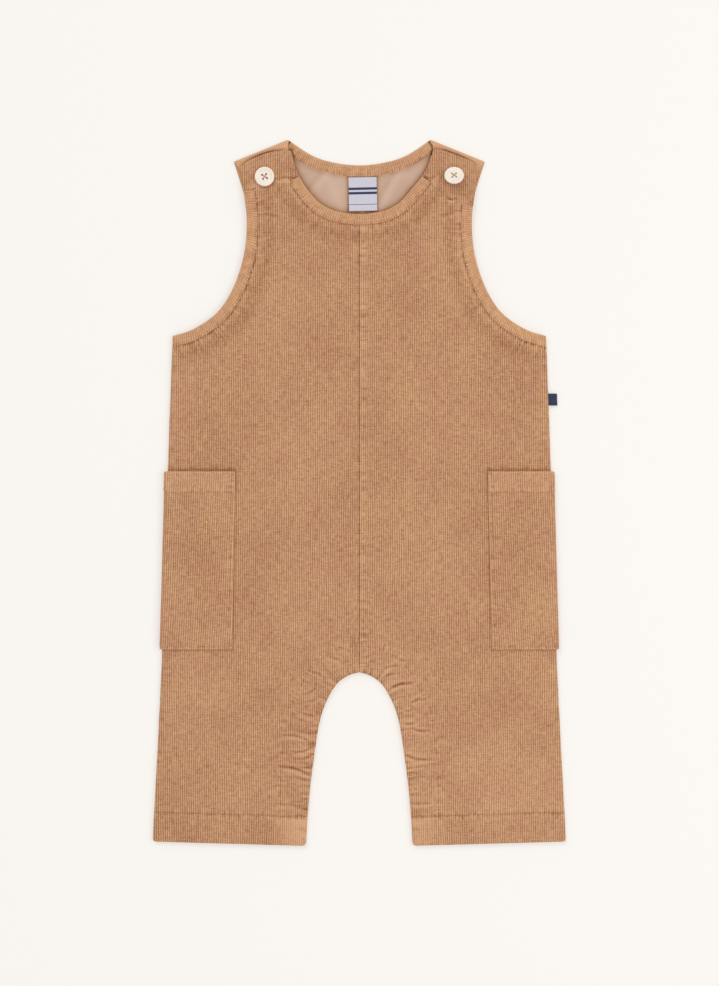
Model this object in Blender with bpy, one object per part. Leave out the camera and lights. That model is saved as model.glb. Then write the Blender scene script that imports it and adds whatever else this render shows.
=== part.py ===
"""Sleeveless corduroy baby jumpsuit, buttoned and laid flat face up. Blender 4.5, metres, +Z up.

+Y runs from the leg hems to the neck and +X to the viewer's right; it lies on the plane z = 0.
Every size in the tables is in millimetres. Heights (y) count up from the lowest point of the hems
and widths (x) out from the centre seam. Each panel is a cloth wall: a loft through closed rings,
one ring for each row from its inner edge to its outer edge.
"""

import math
from collections import namedtuple

import bmesh
import bpy
import numpy as np

MM = 0.001

# ---- driving sizes, millimetres -------------------------------------------------------------
LENGTH = 541.5                # lowest hem point to shoulder fold
WALL = 1.4                    # corduroy and its backing
SEAM_GAP = 0.3                # clear space between sewn pieces

HEM_DEPTH = 21.3              # turned hem, up to its stitch line
HEM_EXTRA = 0.8               # how much thicker the turned hem is
HEM_INSIDE = 0.6              # share of that by which the front's inner face comes down
HEM_BACK_INSIDE = 0.7         # and by which the back's comes up
HEM_EASE = 1.7                # the hem thins out within this much below its stitch line
STITCH_GROOVE = 0.35          # how deep its stitching draws the cloth in
STITCH_GROOVE_WIDTH = 1.8
HEM_SLOPE = 3.3               # the hem's side end lies this much higher than its inner end

BAND_WIDTH = 8.5              # neck and armhole bands
BAND_WALL = 2.2               # folded band
BACK_NECK_BAND_WIDTH = 8.0
BACK_NECK_BAND_WALL = 2.9
BACK_ARM_BAND_WALL = 1.6      # thin, since the turned strap ends lie over it

FRONT_UNDER = 3.0             # height of the front's inner face above the surface
FRONT_LIFT = 0.6              # how much more over a pocket's back part and the turned straps
LINING_WALL = 1.0
LABEL_WALL = 1.0

POCKET_LOW = 150.5
POCKET_HIGH = 286.9
POCKET_RAMP = 5.8             # the panels rise over a pocket's edge within this width
POCKET_CLEAR = 0.5            # and have risen this far before it, in height
POCKET_CLEAR_ASIDE = 0.6      # and in width

FOLD_RADIUS = 0.95            # middle of the wall where the back strap turns over the shoulder
TAB_LENGTH = 38.0             # turned strap end, under the front strap
TAB_CLEAR = 2.0               # the front stays lifted this far past the turned strap end
TAB_EASE = 12.0               # and comes down within this width

BUTTON_DIAMETER = 15.1
BUTTON_HEIGHT = 2.6
BUTTON_HOLE = 1.5
BUTTON_HOLE_SPACING = 3.2

Point = namedtuple("Point", "x y")
Edge = namedtuple("Edge", "face_at face_fall inside_at inside_fall")
Crease = namedtuple("Crease", "x1 y1 x2 y2 width height")
Tab = namedtuple("Tab", "past_fold neck_side arm_side")
Turned = namedtuple("Turned", "radius height")
Across = namedtuple("Across", "share rise")
Button = namedtuple("Button", "x y tilt turn")

# ---- outline of the right half, as smooth lines through these points ---------------------------
SIDE_SEAM = (Point(158.5, HEM_SLOPE), Point(151.3, 146.0), Point(146.6, 296.0),
             Point(143.2, 390.7))
INSEAM = (Point(41.0, 0.0), Point(39.8, 20.0), Point(37.9, 43.0), Point(34.7, 68.0),
          Point(30.4, 95.0), Point(25.7, 109.5), Point(16.3, 124.9), Point(6.9, 131.0),
          Point(0.0, 132.5))
ARMHOLE = (Point(143.2, 390.7), Point(128.0, 395.6), Point(109.5, 408.3), Point(97.6, 425.9),
           Point(88.5, 453.0), Point(86.3, 480.0), Point(88.1, 497.0))
ARMHOLE_FRONT_TOP = Point(91.2, 521.4)
ARMHOLE_BACK_TOP = Point(96.2, 524.7)
FRONT_NECK = (Point(0.0, 484.3), Point(18.4, 486.8), Point(29.9, 492.6), Point(39.8, 503.3))
FRONT_NECK_TOP = {"left": (Point(47.9, 517.0), Point(52.6, 533.3)),
                  "right": (Point(50.4, 517.0), Point(57.4, 534.5))}
BACK_NECK = (Point(0.0, 521.9), Point(16.1, 523.4), Point(34.5, 528.6), Point(54.7, 541.5))
CENTRE_X = SEAM_GAP / 2.0

# ---- where the bands end on the straps ---------------------------------------------------------
FRONT_NECK_BAND_TOP = 513.0
FRONT_ARM_BAND_TOP = {"left": 502.0, "right": 490.0}
BACK_BANDS_STOP = 2.6         # short of the shoulder fold

# ---- how a panel's wall ends at each kind of edge, measured in from the edge ---------------------
EDGES = {
    "seam": (Edge(0.0, 1.00, 1.4, 1.0), Edge(0.8, 0.30, 2.0, 0.3), Edge(2.6, 0.0, 3.0, 0.0)),
    "butt": (Edge(0.0, 1.00, 0.0, 0.0), Edge(0.8, 0.25, 0.8, 0.0), Edge(2.6, 0.0, 2.6, 0.0)),
    "free": (Edge(0.0, 1.00, 0.0, 1.0), Edge(0.5, 0.20, 0.5, 0.0), Edge(2.6, 0.0, 2.6, 0.0)),
}
BUTT_DIP = 0.5                # the face dips this much into a seam
FREE_ROUND = 0.45             # a turned edge is rounded by this much
HEM_ROWS = (0.0, 0.6, 1.8, 12.0, 19.6, 21.3, 23.0)
HEM_ROUND = (1.3, 0.4)        # a hem's corners draw in by this much on its first rows
STRAP_ROUND = (2.4, 0.7)      # and a front strap's on its last rows
STRAP_ROWS = (0.25, 0.5, 0.75, 0.93, 1.0)
STRAP_BEND = {"left": -1.0, "right": -0.4}   # a front strap's end falls late, towards the armhole
FOLD_EDGE_CLOSING = (0.55, 0.15)   # how far a turned edge's first rows close to mid wall
EDGE_SHARE = 0.24             # an edge's points take up this share of a narrow row at most
FREE_ROUND_INSIDE = 0.8       # a turned edge's inner face is rounded by this share
CROTCH_ROW = 166.0            # the row from the crotch meets the side seam at this height
UNDERARM_ROW = 345.0          # the row from the underarm meets the centre seam at this height
INNER_COLUMNS = (0.09, 0.19, 0.30, 0.43, 0.58, 0.78, 1.0)
OUTER_COLUMNS = (0.35, 0.72)
UPPER_KNEE = 0.62             # where those two meet, above the pockets' reach
ROW_LEVEL = 0.58              # a bent row has levelled out after this share of its width
LEG_ROWS = {"front": (26, 5, 9, 6), "back": (15, 3, 5, 3)}   # leg, crotch, seat, waist
CHEST_ROWS = {"front": 12, "back": 10}
STRAP_FOOT_ROWS = {"front": 9, "back": 7}
CHEST_SHARE = {"front": 0.64, "back": 0.66}   # of the armhole seam that the chest rows take up
FOLD_ROWS = 6
ARM_BAND_STEPS = 22
FRONT_NECK_STEPS = 11         # each side of the centre
BACK_NECK_STEPS = 8

# ---- the turned strap end, past the shoulder fold ------------------------------------------------
TAB = (Tab(3.2, 1.2, 0.8), Tab(8.0, 3.6, 2.2), Tab(30.0, 7.5, 6.0), Tab(35.5, 9.5, 8.0),
       Tab(TAB_LENGTH, 13.5, 12.0))
TAB_SHIFT = {"left": 0.0, "right": 2.0}   # the right strap end lies further out

# ---- creases drawn up by the crotch facing's stitching, right half and left half -----------------
CREASES = {
    "right": (
        Crease(7.4, 136.0, 31.2, 138.5, 3.4, 0.55), Crease(22.0, 120.3, 44.0, 125.4, 3.4, 0.80),
        Crease(34.0, 107.0, 49.0, 112.8, 3.2, 0.70), Crease(32.7, 94.2, 45.0, 93.8, 3.0, 0.60),
        Crease(37.0, 88.0, 56.5, 88.4, 3.2, 0.70), Crease(36.0, 70.8, 57.0, 66.2, 3.6, 0.80),
        Crease(39.0, 56.5, 65.0, 55.9, 3.6, 0.75), Crease(40.0, 38.0, 56.0, 41.0, 3.2, 0.45),
    ),
    "left": (
        Crease(9.0, 137.0, 26.0, 141.0, 3.4, 0.45), Crease(36.0, 124.4, 47.0, 116.6, 3.2, 0.65),
        Crease(33.0, 106.8, 45.0, 111.6, 3.2, 0.70), Crease(32.0, 87.6, 61.0, 81.0, 3.4, 0.80),
        Crease(36.5, 75.4, 65.0, 71.0, 3.2, 0.65), Crease(38.0, 60.8, 63.5, 67.0, 3.4, 0.70),
        Crease(37.5, 56.0, 61.0, 52.4, 3.2, 0.60), Crease(40.0, 27.5, 68.0, 31.2, 3.4, 0.50),
    ),
}
FACING = (Point(61.0, 23.0), Point(60.0, 66.0), Point(54.4, 105.0), Point(38.3, 134.8),
          Point(20.7, 150.0), Point(0.0, 154.7))
FACING_RISE = 0.3             # the doubled cloth inside the facing's stitch line
FACING_EASE = 3.0             # it comes up within this width of the line
FACING_HEM_EASE = 4.0         # and within this height of the hem
CREASE_GAIN = 1.25            # the cloth is drawn up this much over the listed heights
CREASE_SPREAD = 0.7           # ridge and trough lie this many widths to the crease's sides
CREASE_TROUGH = 0.45          # the trough's depth as a share of the ridge's height
CREASE_ENDS = (-0.15, 0.15, 0.75, 1.15)   # shares of its length where it starts, is full, ends
ALLOWANCE_WIDTH = 5.5         # the centre seam's allowance, pressed to the right
ALLOWANCE_RISE = 0.25
ALLOWANCE_EASE = 3.0
ALLOWANCE_CROTCH_EASE = 6.0

# ---- pockets: inner edge and how far they stand out past the side seam --------------------------
POCKET_INNER = {"left": (Point(97.5, POCKET_LOW), Point(95.2, POCKET_HIGH)),
                "right": (Point(101.6, POCKET_LOW), Point(98.6, POCKET_HIGH))}
POCKET_PROUD = (Point(2.2, POCKET_LOW), Point(3.1, POCKET_HIGH))
POCKET_BODY_ROWS = (0.0, 0.7, 2.2, 24.0, 46.0, 68.0, 90.0, 108.0, 121.6)
POCKET_STITCH_ROW = 123.4
POCKET_HEM_ROWS = (125.2, 135.7, 136.4)
POCKET_THIN = {"low": 0.45, "high": 0.4}   # the wall's faces draw in at its lower and upper edge
POCKET_GROOVE = 0.3
POCKET_HEM_RISE = 0.4         # the top hem stands out on the front
POCKET_HEM_OUT = 0.3          # and round the side
POCKET_TURN_STEPS = 6
Ease = namedtuple("Ease", "inset back front")
POCKET_EDGE = (Ease(0.0, 0.24, 0.6), Ease(0.7, 0.0, 0.1), Ease(2.5, 0.0, 0.0),
               Ease(15.0, 0.0, 0.0), Ease(28.0, 0.0, 0.0))

# ---- section across a band, from its free edge to its seam --------------------------------------
BAND_SECTION = (Across(0.00, 0.40), Across(0.06, 0.82), Across(0.20, 1.0), Across(0.80, 1.0),
                Across(0.93, 0.85), Across(1.00, 0.50))
BAND_BOTTOM = (0.96, 0.04)    # shares across at which its underside ends
BAND_END_WALL = 0.9           # armhole bands thin to this where they meet at the side seam
BAND_END_FULLNESS = 1.4
BACK_NECK_THINNING = (36.0, 43.0)   # the back neck band thins out between these widths

# ---- buttons ------------------------------------------------------------------------------------
BUTTON_PROFILE = (Turned(0.0, 0.0), Turned(0.86, 0.0), Turned(0.97, 0.16), Turned(1.0, 0.46),
                  Turned(0.98, 0.80), Turned(0.91, 1.0), Turned(0.80, 0.97), Turned(0.70, 0.74),
                  Turned(0.0, 0.70))
BUTTONS = {"left": Button(-72.8, 513.0, 0.0, 12.0), "right": Button(72.5, 513.7, 26.0, 4.0)}
BUTTON_SEGMENTS = 28
BUTTON_HOLES = 4
BUTTON_HOLE_SEGMENTS = 10

# ---- labels and lining ---------------------------------------------------------------------------
NECK_LABEL = {"x": 2.4, "top": 512.4, "width": 21.4, "height": 25.6, "turn": 1.3, "curl": 0.7}
SIDE_LABEL = {"y": 342.1, "width": 9.2, "length": 6.9, "wall": 1.2, "droop": 0.9,
              "height": 1.6}
LABEL_STEPS = 4
SIDE_LABEL_STEPS = 3
LINING_LOW = 469.0
LINING_BELOW_BAND = 0.2       # the lining lies this much under the back neck band's face
LINING_ROWS = (0.0, 0.3, 0.55, 0.75, 0.9, 1.0)
LINING_COLUMNS = 14
LINING_TOP_GAP = 0.1
LINING_SIDES = {
    "left": (Point(41.0, LINING_LOW), Point(41.0, 496.0), Point(46.5, 508.0),
             Point(50.3, 517.0), Point(52.3, 525.0)),
    "right": (Point(43.0, LINING_LOW), Point(43.0, 496.0), Point(48.5, 508.0),
              Point(52.4, 517.0), Point(54.3, 525.0)),
}

# ---- colours, linear -----------------------------------------------------------------------------
CORDUROY = (0.50, 0.27, 0.145)
TRIM_CORDUROY = (0.54, 0.30, 0.17)
LINING_CLOTH = (0.58, 0.40, 0.28)
LABEL_WHITE = (0.78, 0.77, 0.82)
LABEL_NAVY = (0.018, 0.024, 0.075)
BUTTON_IVORY = (0.90, 0.85, 0.76)
CLOTH_ROUGHNESS = 0.9


# ================================ lines in the plane ===============================================
def smooth_line(points, mirror_start=False, mirror_end=False, per_span=10):
    """A smooth line through points; a mirrored end meets the centre line squarely."""
    given = np.array(points, dtype=float)
    before = given[1] * (-1.0, 1.0) if mirror_start else 2.0 * given[0] - given[1]
    after = given[-2] * (-1.0, 1.0) if mirror_end else 2.0 * given[-1] - given[-2]
    knots = np.vstack([before, given, after])
    line = []
    for index in range(1, len(knots) - 2):
        a, b, c, d = knots[index - 1:index + 3]
        times = np.cumsum([0.0] + [math.sqrt(np.linalg.norm(q - p))
                                   for p, q in ((a, b), (b, c), (c, d))])
        for step in range(per_span):
            line.append(between_knots((a, b, c, d), times, step / per_span))
    line.append(given[-1])
    return np.array(line)


def between_knots(knots, times, share):
    """A point of the curve between the two middle ones of four knots."""
    time = times[1] + share * (times[2] - times[1])

    def mix(start, end, first, last):
        return ((times[last] - time) * start + (time - times[first]) * end) \
            / (times[last] - times[first])

    near = [mix(knots[i], knots[i + 1], i, i + 1) for i in range(3)]
    wide = [mix(near[i], near[i + 1], i, i + 2) for i in range(2)]
    return mix(wide[0], wide[1], 1, 2)


def distances(line):
    """How far along a line each of its points lies."""
    steps = np.linalg.norm(np.diff(line, axis=0), axis=1)
    return np.concatenate([[0.0], np.cumsum(steps)])


def at(line, distance):
    """The point of a line at a distance from its start."""
    along = distances(line)
    return np.array([np.interp(distance, along, line[:, axis]) for axis in (0, 1)])


def reach(line, height):
    """The distance at which a rising line is at a height."""
    return float(np.interp(height, line[:, 1], distances(line)))


def stretch(line, start, end):
    """The stretch of a line between two distances."""
    along = distances(line)
    inner = line[(along > start + 1e-6) & (along < end - 1e-6)]
    return np.vstack([at(line, start), inner, at(line, end)])


def beside(line, distance):
    """A line moved sideways, to the right of its direction."""
    tangents = np.gradient(line, axis=0)
    tangents /= np.linalg.norm(tangents, axis=1)[:, None]
    return line + distance * np.stack([tangents[:, 1], -tangents[:, 0]], axis=1)


def ramp(value, start, end):
    """0 at start and 1 at end, straight between."""
    return min(1.0, max(0.0, (value - start) / (end - start)))


def width_at(pair, height):
    """The x of a straight edge, given by its two ends, at a height."""
    return float(np.interp(height, [p.y for p in pair], [p.x for p in pair]))


# ================================ seams and edges of the right half ================================
def side_seam():
    return smooth_line(SIDE_SEAM)


def armhole_edge(top):
    return smooth_line(ARMHOLE + (top,))


def arm_band_seam(top, width):
    """The line a distance in from the armhole edge, run on to the side seam."""
    line = beside(armhole_edge(top), -width)
    side = side_seam()
    run = line[0] - line[1]
    step = 0.0
    while line[0][0] + step * run[0] < np.interp(line[0][1] + step * run[1], side[:, 1], side[:, 0]):
        step += 0.02
    return np.vstack([line[0] + step * run, line[1:]])


def front_neck_edge(side):
    return smooth_line(FRONT_NECK + FRONT_NECK_TOP[side], mirror_start=True)


def back_neck_edge():
    return smooth_line(BACK_NECK, mirror_start=True)


FOLD_START = np.array(BACK_NECK[-1])
FOLD_END = np.array(ARMHOLE_BACK_TOP)
FOLD_ALONG = (FOLD_END - FOLD_START) / np.linalg.norm(FOLD_END - FOLD_START)
FOLD_UP = np.array([-FOLD_ALONG[1], FOLD_ALONG[0]])
FOLD_REACH = FOLD_RADIUS + WALL / 2.0
FOLD_TURN = math.pi * FOLD_RADIUS


def below_fold(x, y):
    """How far a point lies below the shoulder fold."""
    return float(np.dot(FOLD_START - (abs(x), y), FOLD_UP))


# ================================ heights of the layers =============================================
def over_pocket(x, y, side):
    """1 where a panel lies over or under a pocket, 0 away from it."""
    edge = width_at(POCKET_INNER[side], y) - POCKET_CLEAR_ASIDE
    sideways = ramp(abs(x), edge - POCKET_RAMP, edge)
    low, high = POCKET_LOW - POCKET_CLEAR, POCKET_HIGH + POCKET_CLEAR
    up = ramp(y, low - POCKET_RAMP, low)
    down = ramp(y, high + POCKET_RAMP, high)
    return sideways * min(up, down)


def in_hem(x, y):
    """1 on the turned hem, 0 above its stitching."""
    slope = HEM_SLOPE * ramp(abs(x), INSEAM[0].x, SIDE_SEAM[0].x)
    return 1.0 - ramp(y - slope, HEM_DEPTH - HEM_EASE, HEM_DEPTH)


def front_inside(x, y, side):
    past_tab = TAB_LENGTH + TAB_CLEAR
    over_tab = ramp(below_fold(x, y), past_tab + TAB_EASE, past_tab)
    return (FRONT_UNDER + FRONT_LIFT * max(over_pocket(x, y, side), over_tab)
            - HEM_INSIDE * HEM_EXTRA * in_hem(x, y))


def crease_rise(x, y, side):
    """Soft ridge and trough beside each crease of the inner leg."""
    total = 0.0
    starts, full, ending, ends = CREASE_ENDS
    for crease in CREASES[side]:
        start = np.array([crease.x1, crease.y1])
        run = np.array([crease.x2, crease.y2]) - start
        share = np.dot((abs(x), y) - start, run) / np.dot(run, run)
        off = (run[0] * (y - crease.y1) - run[1] * (abs(x) - crease.x1)) / np.linalg.norm(run)
        fade = min(ramp(share, starts, full), ramp(share, ends, ending))
        ridge = math.exp(-(off / crease.width - CREASE_SPREAD) ** 2)
        trough = math.exp(-(off / crease.width + CREASE_SPREAD) ** 2)
        total += CREASE_GAIN * crease.height * fade * (ridge - CREASE_TROUGH * trough)
    return total


def facing_rise(x, y):
    """The doubled cloth between the crotch facing's stitch line and the inseam."""
    edge = np.array(FACING)
    if y > edge[-1][1]:
        return 0.0
    limit = np.interp(y, edge[:, 1], edge[:, 0])
    return (FACING_RISE * ramp(abs(x), limit, limit - FACING_EASE)
            * ramp(y, HEM_DEPTH, HEM_DEPTH + FACING_HEM_EASE))


def allowance_rise(x, y, side):
    """The centre seam's allowance under the right front."""
    if side == "left":
        return 0.0
    return (ALLOWANCE_RISE * ramp(abs(x), ALLOWANCE_WIDTH + ALLOWANCE_EASE, ALLOWANCE_WIDTH)
            * ramp(y, INSEAM[-1].y, INSEAM[-1].y + ALLOWANCE_CROTCH_EASE))


def front_face(x, y, side):
    extra = HEM_EXTRA * in_hem(x, y)
    stitch = HEM_DEPTH + HEM_SLOPE * ramp(abs(x), INSEAM[0].x, SIDE_SEAM[0].x)
    groove = STITCH_GROOVE * max(0.0, 1.0 - abs(y - stitch) / STITCH_GROOVE_WIDTH)
    return (front_inside(x, y, side) + WALL + extra - groove
            + crease_rise(x, y, side) + facing_rise(x, y) + allowance_rise(x, y, side))


def back_face(x, y, side):
    return (WALL + SEAM_GAP) * over_pocket(x, y, side)


def back_inside(x, y, side):
    return back_face(x, y, side) + WALL + HEM_BACK_INSIDE * HEM_EXTRA * in_hem(x, y)


def seam_height(x, y, side):
    """Where the front's and the back's edges meet at a side seam or inseam."""
    return (front_inside(x, y, side) + back_inside(x, y, side)) / 2.0


# ================================ panels =============================================================
Strip = namedtuple("Strip", "inner outer inner_edge outer_edge bend_low bend_high shares")


def even(count):
    """Shares of a strip at which it has a row: as many as counted, evenly."""
    return tuple((index + 1) / count for index in range(count))


def row_rise(share, bend):
    """How far up its own rise a row has come: a positive bend rises early, a negative one late."""
    early = 1.0 - max(0.0, 1.0 - share / ROW_LEVEL) ** 2
    late = share * share
    return (1.0 - abs(bend)) * share + abs(bend) * (early if bend > 0.0 else late)


def row_point(start, end, share, bend):
    return np.array([start[0] + (end[0] - start[0]) * share,
                     start[1] + (end[1] - start[1]) * row_rise(share, bend)])


def slant(line, share, direction, reach_along=0.5, least=0.3):
    """The sine between a row and the edge that it leaves."""
    total = distances(line)[-1]
    here = share * total
    tangent = at(line, min(total, here + reach_along)) - at(line, max(0.0, here - reach_along))
    tangent /= np.linalg.norm(tangent)
    direction = direction / np.linalg.norm(direction)
    return max(least, abs(tangent[0] * direction[1] - tangent[1] * direction[0]))


def panel_rows(strips, nearby=0.02):
    """Every row of a panel, from its strips: end points, edges, bend and slants."""
    rows = []
    for strip in strips:
        lengths = distances(strip.inner)[-1], distances(strip.outer)[-1]
        for share in strip.shares:
            start = at(strip.inner, share * lengths[0])
            end = at(strip.outer, share * lengths[1])
            bend = strip.bend_low + (strip.bend_high - strip.bend_low) * share
            lead = row_point(start, end, nearby, bend) - start
            tail = end - row_point(start, end, 1.0 - nearby, bend)
            rows.append({"start": start, "end": end, "bend": bend,
                         "edges": (strip.inner_edge, strip.outer_edge),
                         "slants": (slant(strip.inner, share, lead),
                                    slant(strip.outer, share, tail))})
    return rows


def knee_share(row, side):
    """Where a row crosses the line of the pocket's inner edge, as a share of its width."""
    width = row["end"][0] - row["start"][0]
    if row["start"][1] > ARMHOLE[0].y or row["end"][1] > SIDE_SEAM[-1].y - BAND_WIDTH:
        return UPPER_KNEE
    edge = width_at(POCKET_INNER[side], row["end"][1]) - POCKET_CLEAR_ASIDE
    return (edge - row["start"][0]) / width


def wall_ring(row, side, face, inside, seam, outward):
    """The closed ring of one row: across the face and back along the inside."""
    width = row["end"][0] - row["start"][0]
    knee = knee_share(row, side)
    before_knee = max(0.5 * knee, knee - POCKET_RAMP / width)
    chains = {"face": [], "inside": []}
    for chain in chains:
        first, last = [], []
        for which, shares in ((0, first), (1, last)):
            for edge in EDGES[row["edges"][which]]:
                depth = (edge.face_at if chain == "face" else edge.inside_at)
                fall = edge.face_fall if chain == "face" else edge.inside_fall
                share = min(EDGE_SHARE, depth / row["slants"][which] / width)
                shares.append((share if which == 0 else 1.0 - share, fall, row["edges"][which]))
        start = first[-1][0]
        middle = [(start + (before_knee - start) * part, 0.0, None) for part in INNER_COLUMNS]
        middle.append((knee, 0.0, None))
        end = last[-1][0]
        middle += [(knee + (end - knee) * part, 0.0, None) for part in OUTER_COLUMNS]
        for share, fall, kind in first + middle + last[::-1]:
            x, y = row_point(row["start"], row["end"], share, row["bend"])
            height = face(x, y, side) if chain == "face" else inside(x, y, side)
            if kind == "seam":
                rim = seam(x, y, side) + outward * SEAM_GAP / 2.0
            elif kind == "butt":
                rim = height - outward * (BUTT_DIP if chain == "face" else 0.0)
            elif chain == "face":
                rim = height - outward * FREE_ROUND
            else:
                rim = height + outward * FREE_ROUND * FREE_ROUND_INSIDE
            chains[chain].append((x, y, height + fall * (rim - height)))
    return chains["face"], chains["inside"]


def round_corners(rows, insets):
    """Draw in the ends of a panel's first or last rows."""
    for row, inset in zip(rows, insets):
        row["start"][0] += inset
        row["end"][0] -= inset


def close_fold(ring_rows):
    """Round a turned edge: its first rings close towards the middle of the wall."""
    for (face, inside), part in zip(ring_rows, FOLD_EDGE_CLOSING):
        for index, (low, high) in enumerate(zip(face, inside)):
            middle = (low[2] + high[2]) / 2.0
            face[index] = (low[0], low[1], low[2] + part * (middle - low[2]))
            inside[index] = (high[0], high[1], high[2] + part * (middle - high[2]))


def leg_strips(leg_rows, crotch_rows, seat_rows, waist_rows):
    """The strips from the hem up to the underarm, the same outline on front and back."""
    inseam = smooth_line(INSEAM, mirror_end=True)
    inseam[-1][0] = CENTRE_X
    side = side_seam()
    centre = np.array([(CENTRE_X, INSEAM[-1].y), (CENTRE_X, FRONT_NECK[0].y)])
    hem_end = reach(inseam, HEM_ROWS[-1])
    inseam_length = distances(inseam)[-1]
    side_start = HEM_SLOPE + HEM_ROWS[-1]

    def inner_part(low, high):
        shares = [(y - side_start) / (CROTCH_ROW - side_start) for y in (low, high)]
        ends = [hem_end + share * (inseam_length - hem_end) for share in shares]
        return stretch(inseam, *ends)

    def side_part(low, high):
        return stretch(side, reach(side, low), reach(side, high))

    def centre_part(low, high):
        return stretch(centre, reach(centre, low), reach(centre, high))

    low, high = POCKET_LOW - POCKET_CLEAR, POCKET_HIGH + POCKET_CLEAR
    hem_shares = tuple(depth / HEM_ROWS[-1] for depth in HEM_ROWS)
    underarm = arm_band_seam(ARMHOLE_FRONT_TOP, BAND_WIDTH + SEAM_GAP)[0][1]
    return [
        Strip(stretch(inseam, 0.0, hem_end), side_part(HEM_SLOPE, side_start),
              "seam", "seam", 0.0, 0.0, hem_shares),
        Strip(inner_part(side_start, low - POCKET_RAMP), side_part(side_start, low - POCKET_RAMP),
              "seam", "seam", 0.0, 1.0, even(leg_rows)),
        Strip(inner_part(low - POCKET_RAMP, low), side_part(low - POCKET_RAMP, low),
              "seam", "seam", 1.0, 1.0, even(1)),
        Strip(inner_part(low, CROTCH_ROW), side_part(low, CROTCH_ROW),
              "seam", "seam", 1.0, 1.0, even(crotch_rows)),
        Strip(centre_part(INSEAM[-1].y, high), side_part(CROTCH_ROW, high),
              "butt", "seam", 1.0, 1.0, even(seat_rows)),
        Strip(centre_part(high, high + POCKET_RAMP), side_part(high, high + POCKET_RAMP),
              "butt", "seam", 0.0, 0.0, even(1)),
        Strip(centre_part(high + POCKET_RAMP, UNDERARM_ROW),
              side_part(high + POCKET_RAMP, underarm),
              "butt", "seam", 0.0, -1.0, even(waist_rows)),
    ]


def straight(start, end):
    return np.array([start, end], dtype=float)


def front_panel(side):
    arm_edge = armhole_edge(ARMHOLE_FRONT_TOP)
    arm_end = reach(arm_edge, FRONT_ARM_BAND_TOP[side])
    arm_seam = band_seam(arm_edge, arm_band_seam(ARMHOLE_FRONT_TOP, BAND_WIDTH + SEAM_GAP), arm_end)
    neck_edge = front_neck_edge(side)
    neck_end = reach(neck_edge, FRONT_NECK_BAND_TOP)
    neck_seam = band_seam(neck_edge, neck_band_seam(neck_edge, BAND_WIDTH + SEAM_GAP), neck_end)
    neck_step = at(neck_edge, neck_end + SEAM_GAP)
    arm_step = at(arm_edge, arm_end + SEAM_GAP)
    base = straight((CENTRE_X, UNDERARM_ROW), neck_seam[0])
    arm_middle = CHEST_SHARE["front"] * distances(arm_seam)[-1]
    strips = leg_strips(*LEG_ROWS["front"])
    strips += [
        Strip(base, stretch(arm_seam, 0.0, arm_middle),
              "butt", "butt", -1.0, 0.0, even(CHEST_ROWS["front"])),
        Strip(neck_seam, stretch(arm_seam, arm_middle, distances(arm_seam)[-1]),
              "butt", "butt", 0.0, 0.0, even(STRAP_FOOT_ROWS["front"])),
        Strip(straight(neck_seam[-1], neck_step), straight(arm_seam[-1], arm_step),
              "free", "free", 0.0, 0.0, even(1)),
        Strip(stretch(neck_edge, neck_end + SEAM_GAP, distances(neck_edge)[-1]),
              stretch(arm_edge, arm_end + SEAM_GAP, distances(arm_edge)[-1]),
              "free", "free", 0.0, STRAP_BEND[side], STRAP_ROWS),
    ]
    rows = panel_rows(strips)
    round_corners(rows, HEM_ROUND)
    round_corners(rows[::-1], STRAP_ROUND)
    rings = [wall_ring(row, side, front_face, front_inside, seam_height, 1.0) for row in rows]
    close_fold(rings)
    close_fold(rings[::-1][:1])
    return rings


def band_seam(edge, seam, end):
    """A band's seam line, cut off square where the band ends on its edge."""
    tip = at(edge, end)
    cut = min(range(len(seam)), key=lambda index: np.linalg.norm(seam[index] - tip))
    run = at(edge, end + SEAM_GAP) - tip
    run /= np.linalg.norm(run)
    ahead = [float(np.dot(point - tip, run)) for point in seam]
    while cut > 0 and ahead[cut] >= 0.0:
        cut -= 1
    while ahead[cut + 1] < 0.0:
        cut += 1
    share = -ahead[cut] / (ahead[cut + 1] - ahead[cut])
    return np.vstack([seam[:cut + 1], seam[cut] + share * (seam[cut + 1] - seam[cut])])


def neck_band_seam(edge, width):
    """The line a distance out from a neck edge, starting on the centre line."""
    line = beside(edge, width)
    line[0][0] = CENTRE_X
    return line


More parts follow.
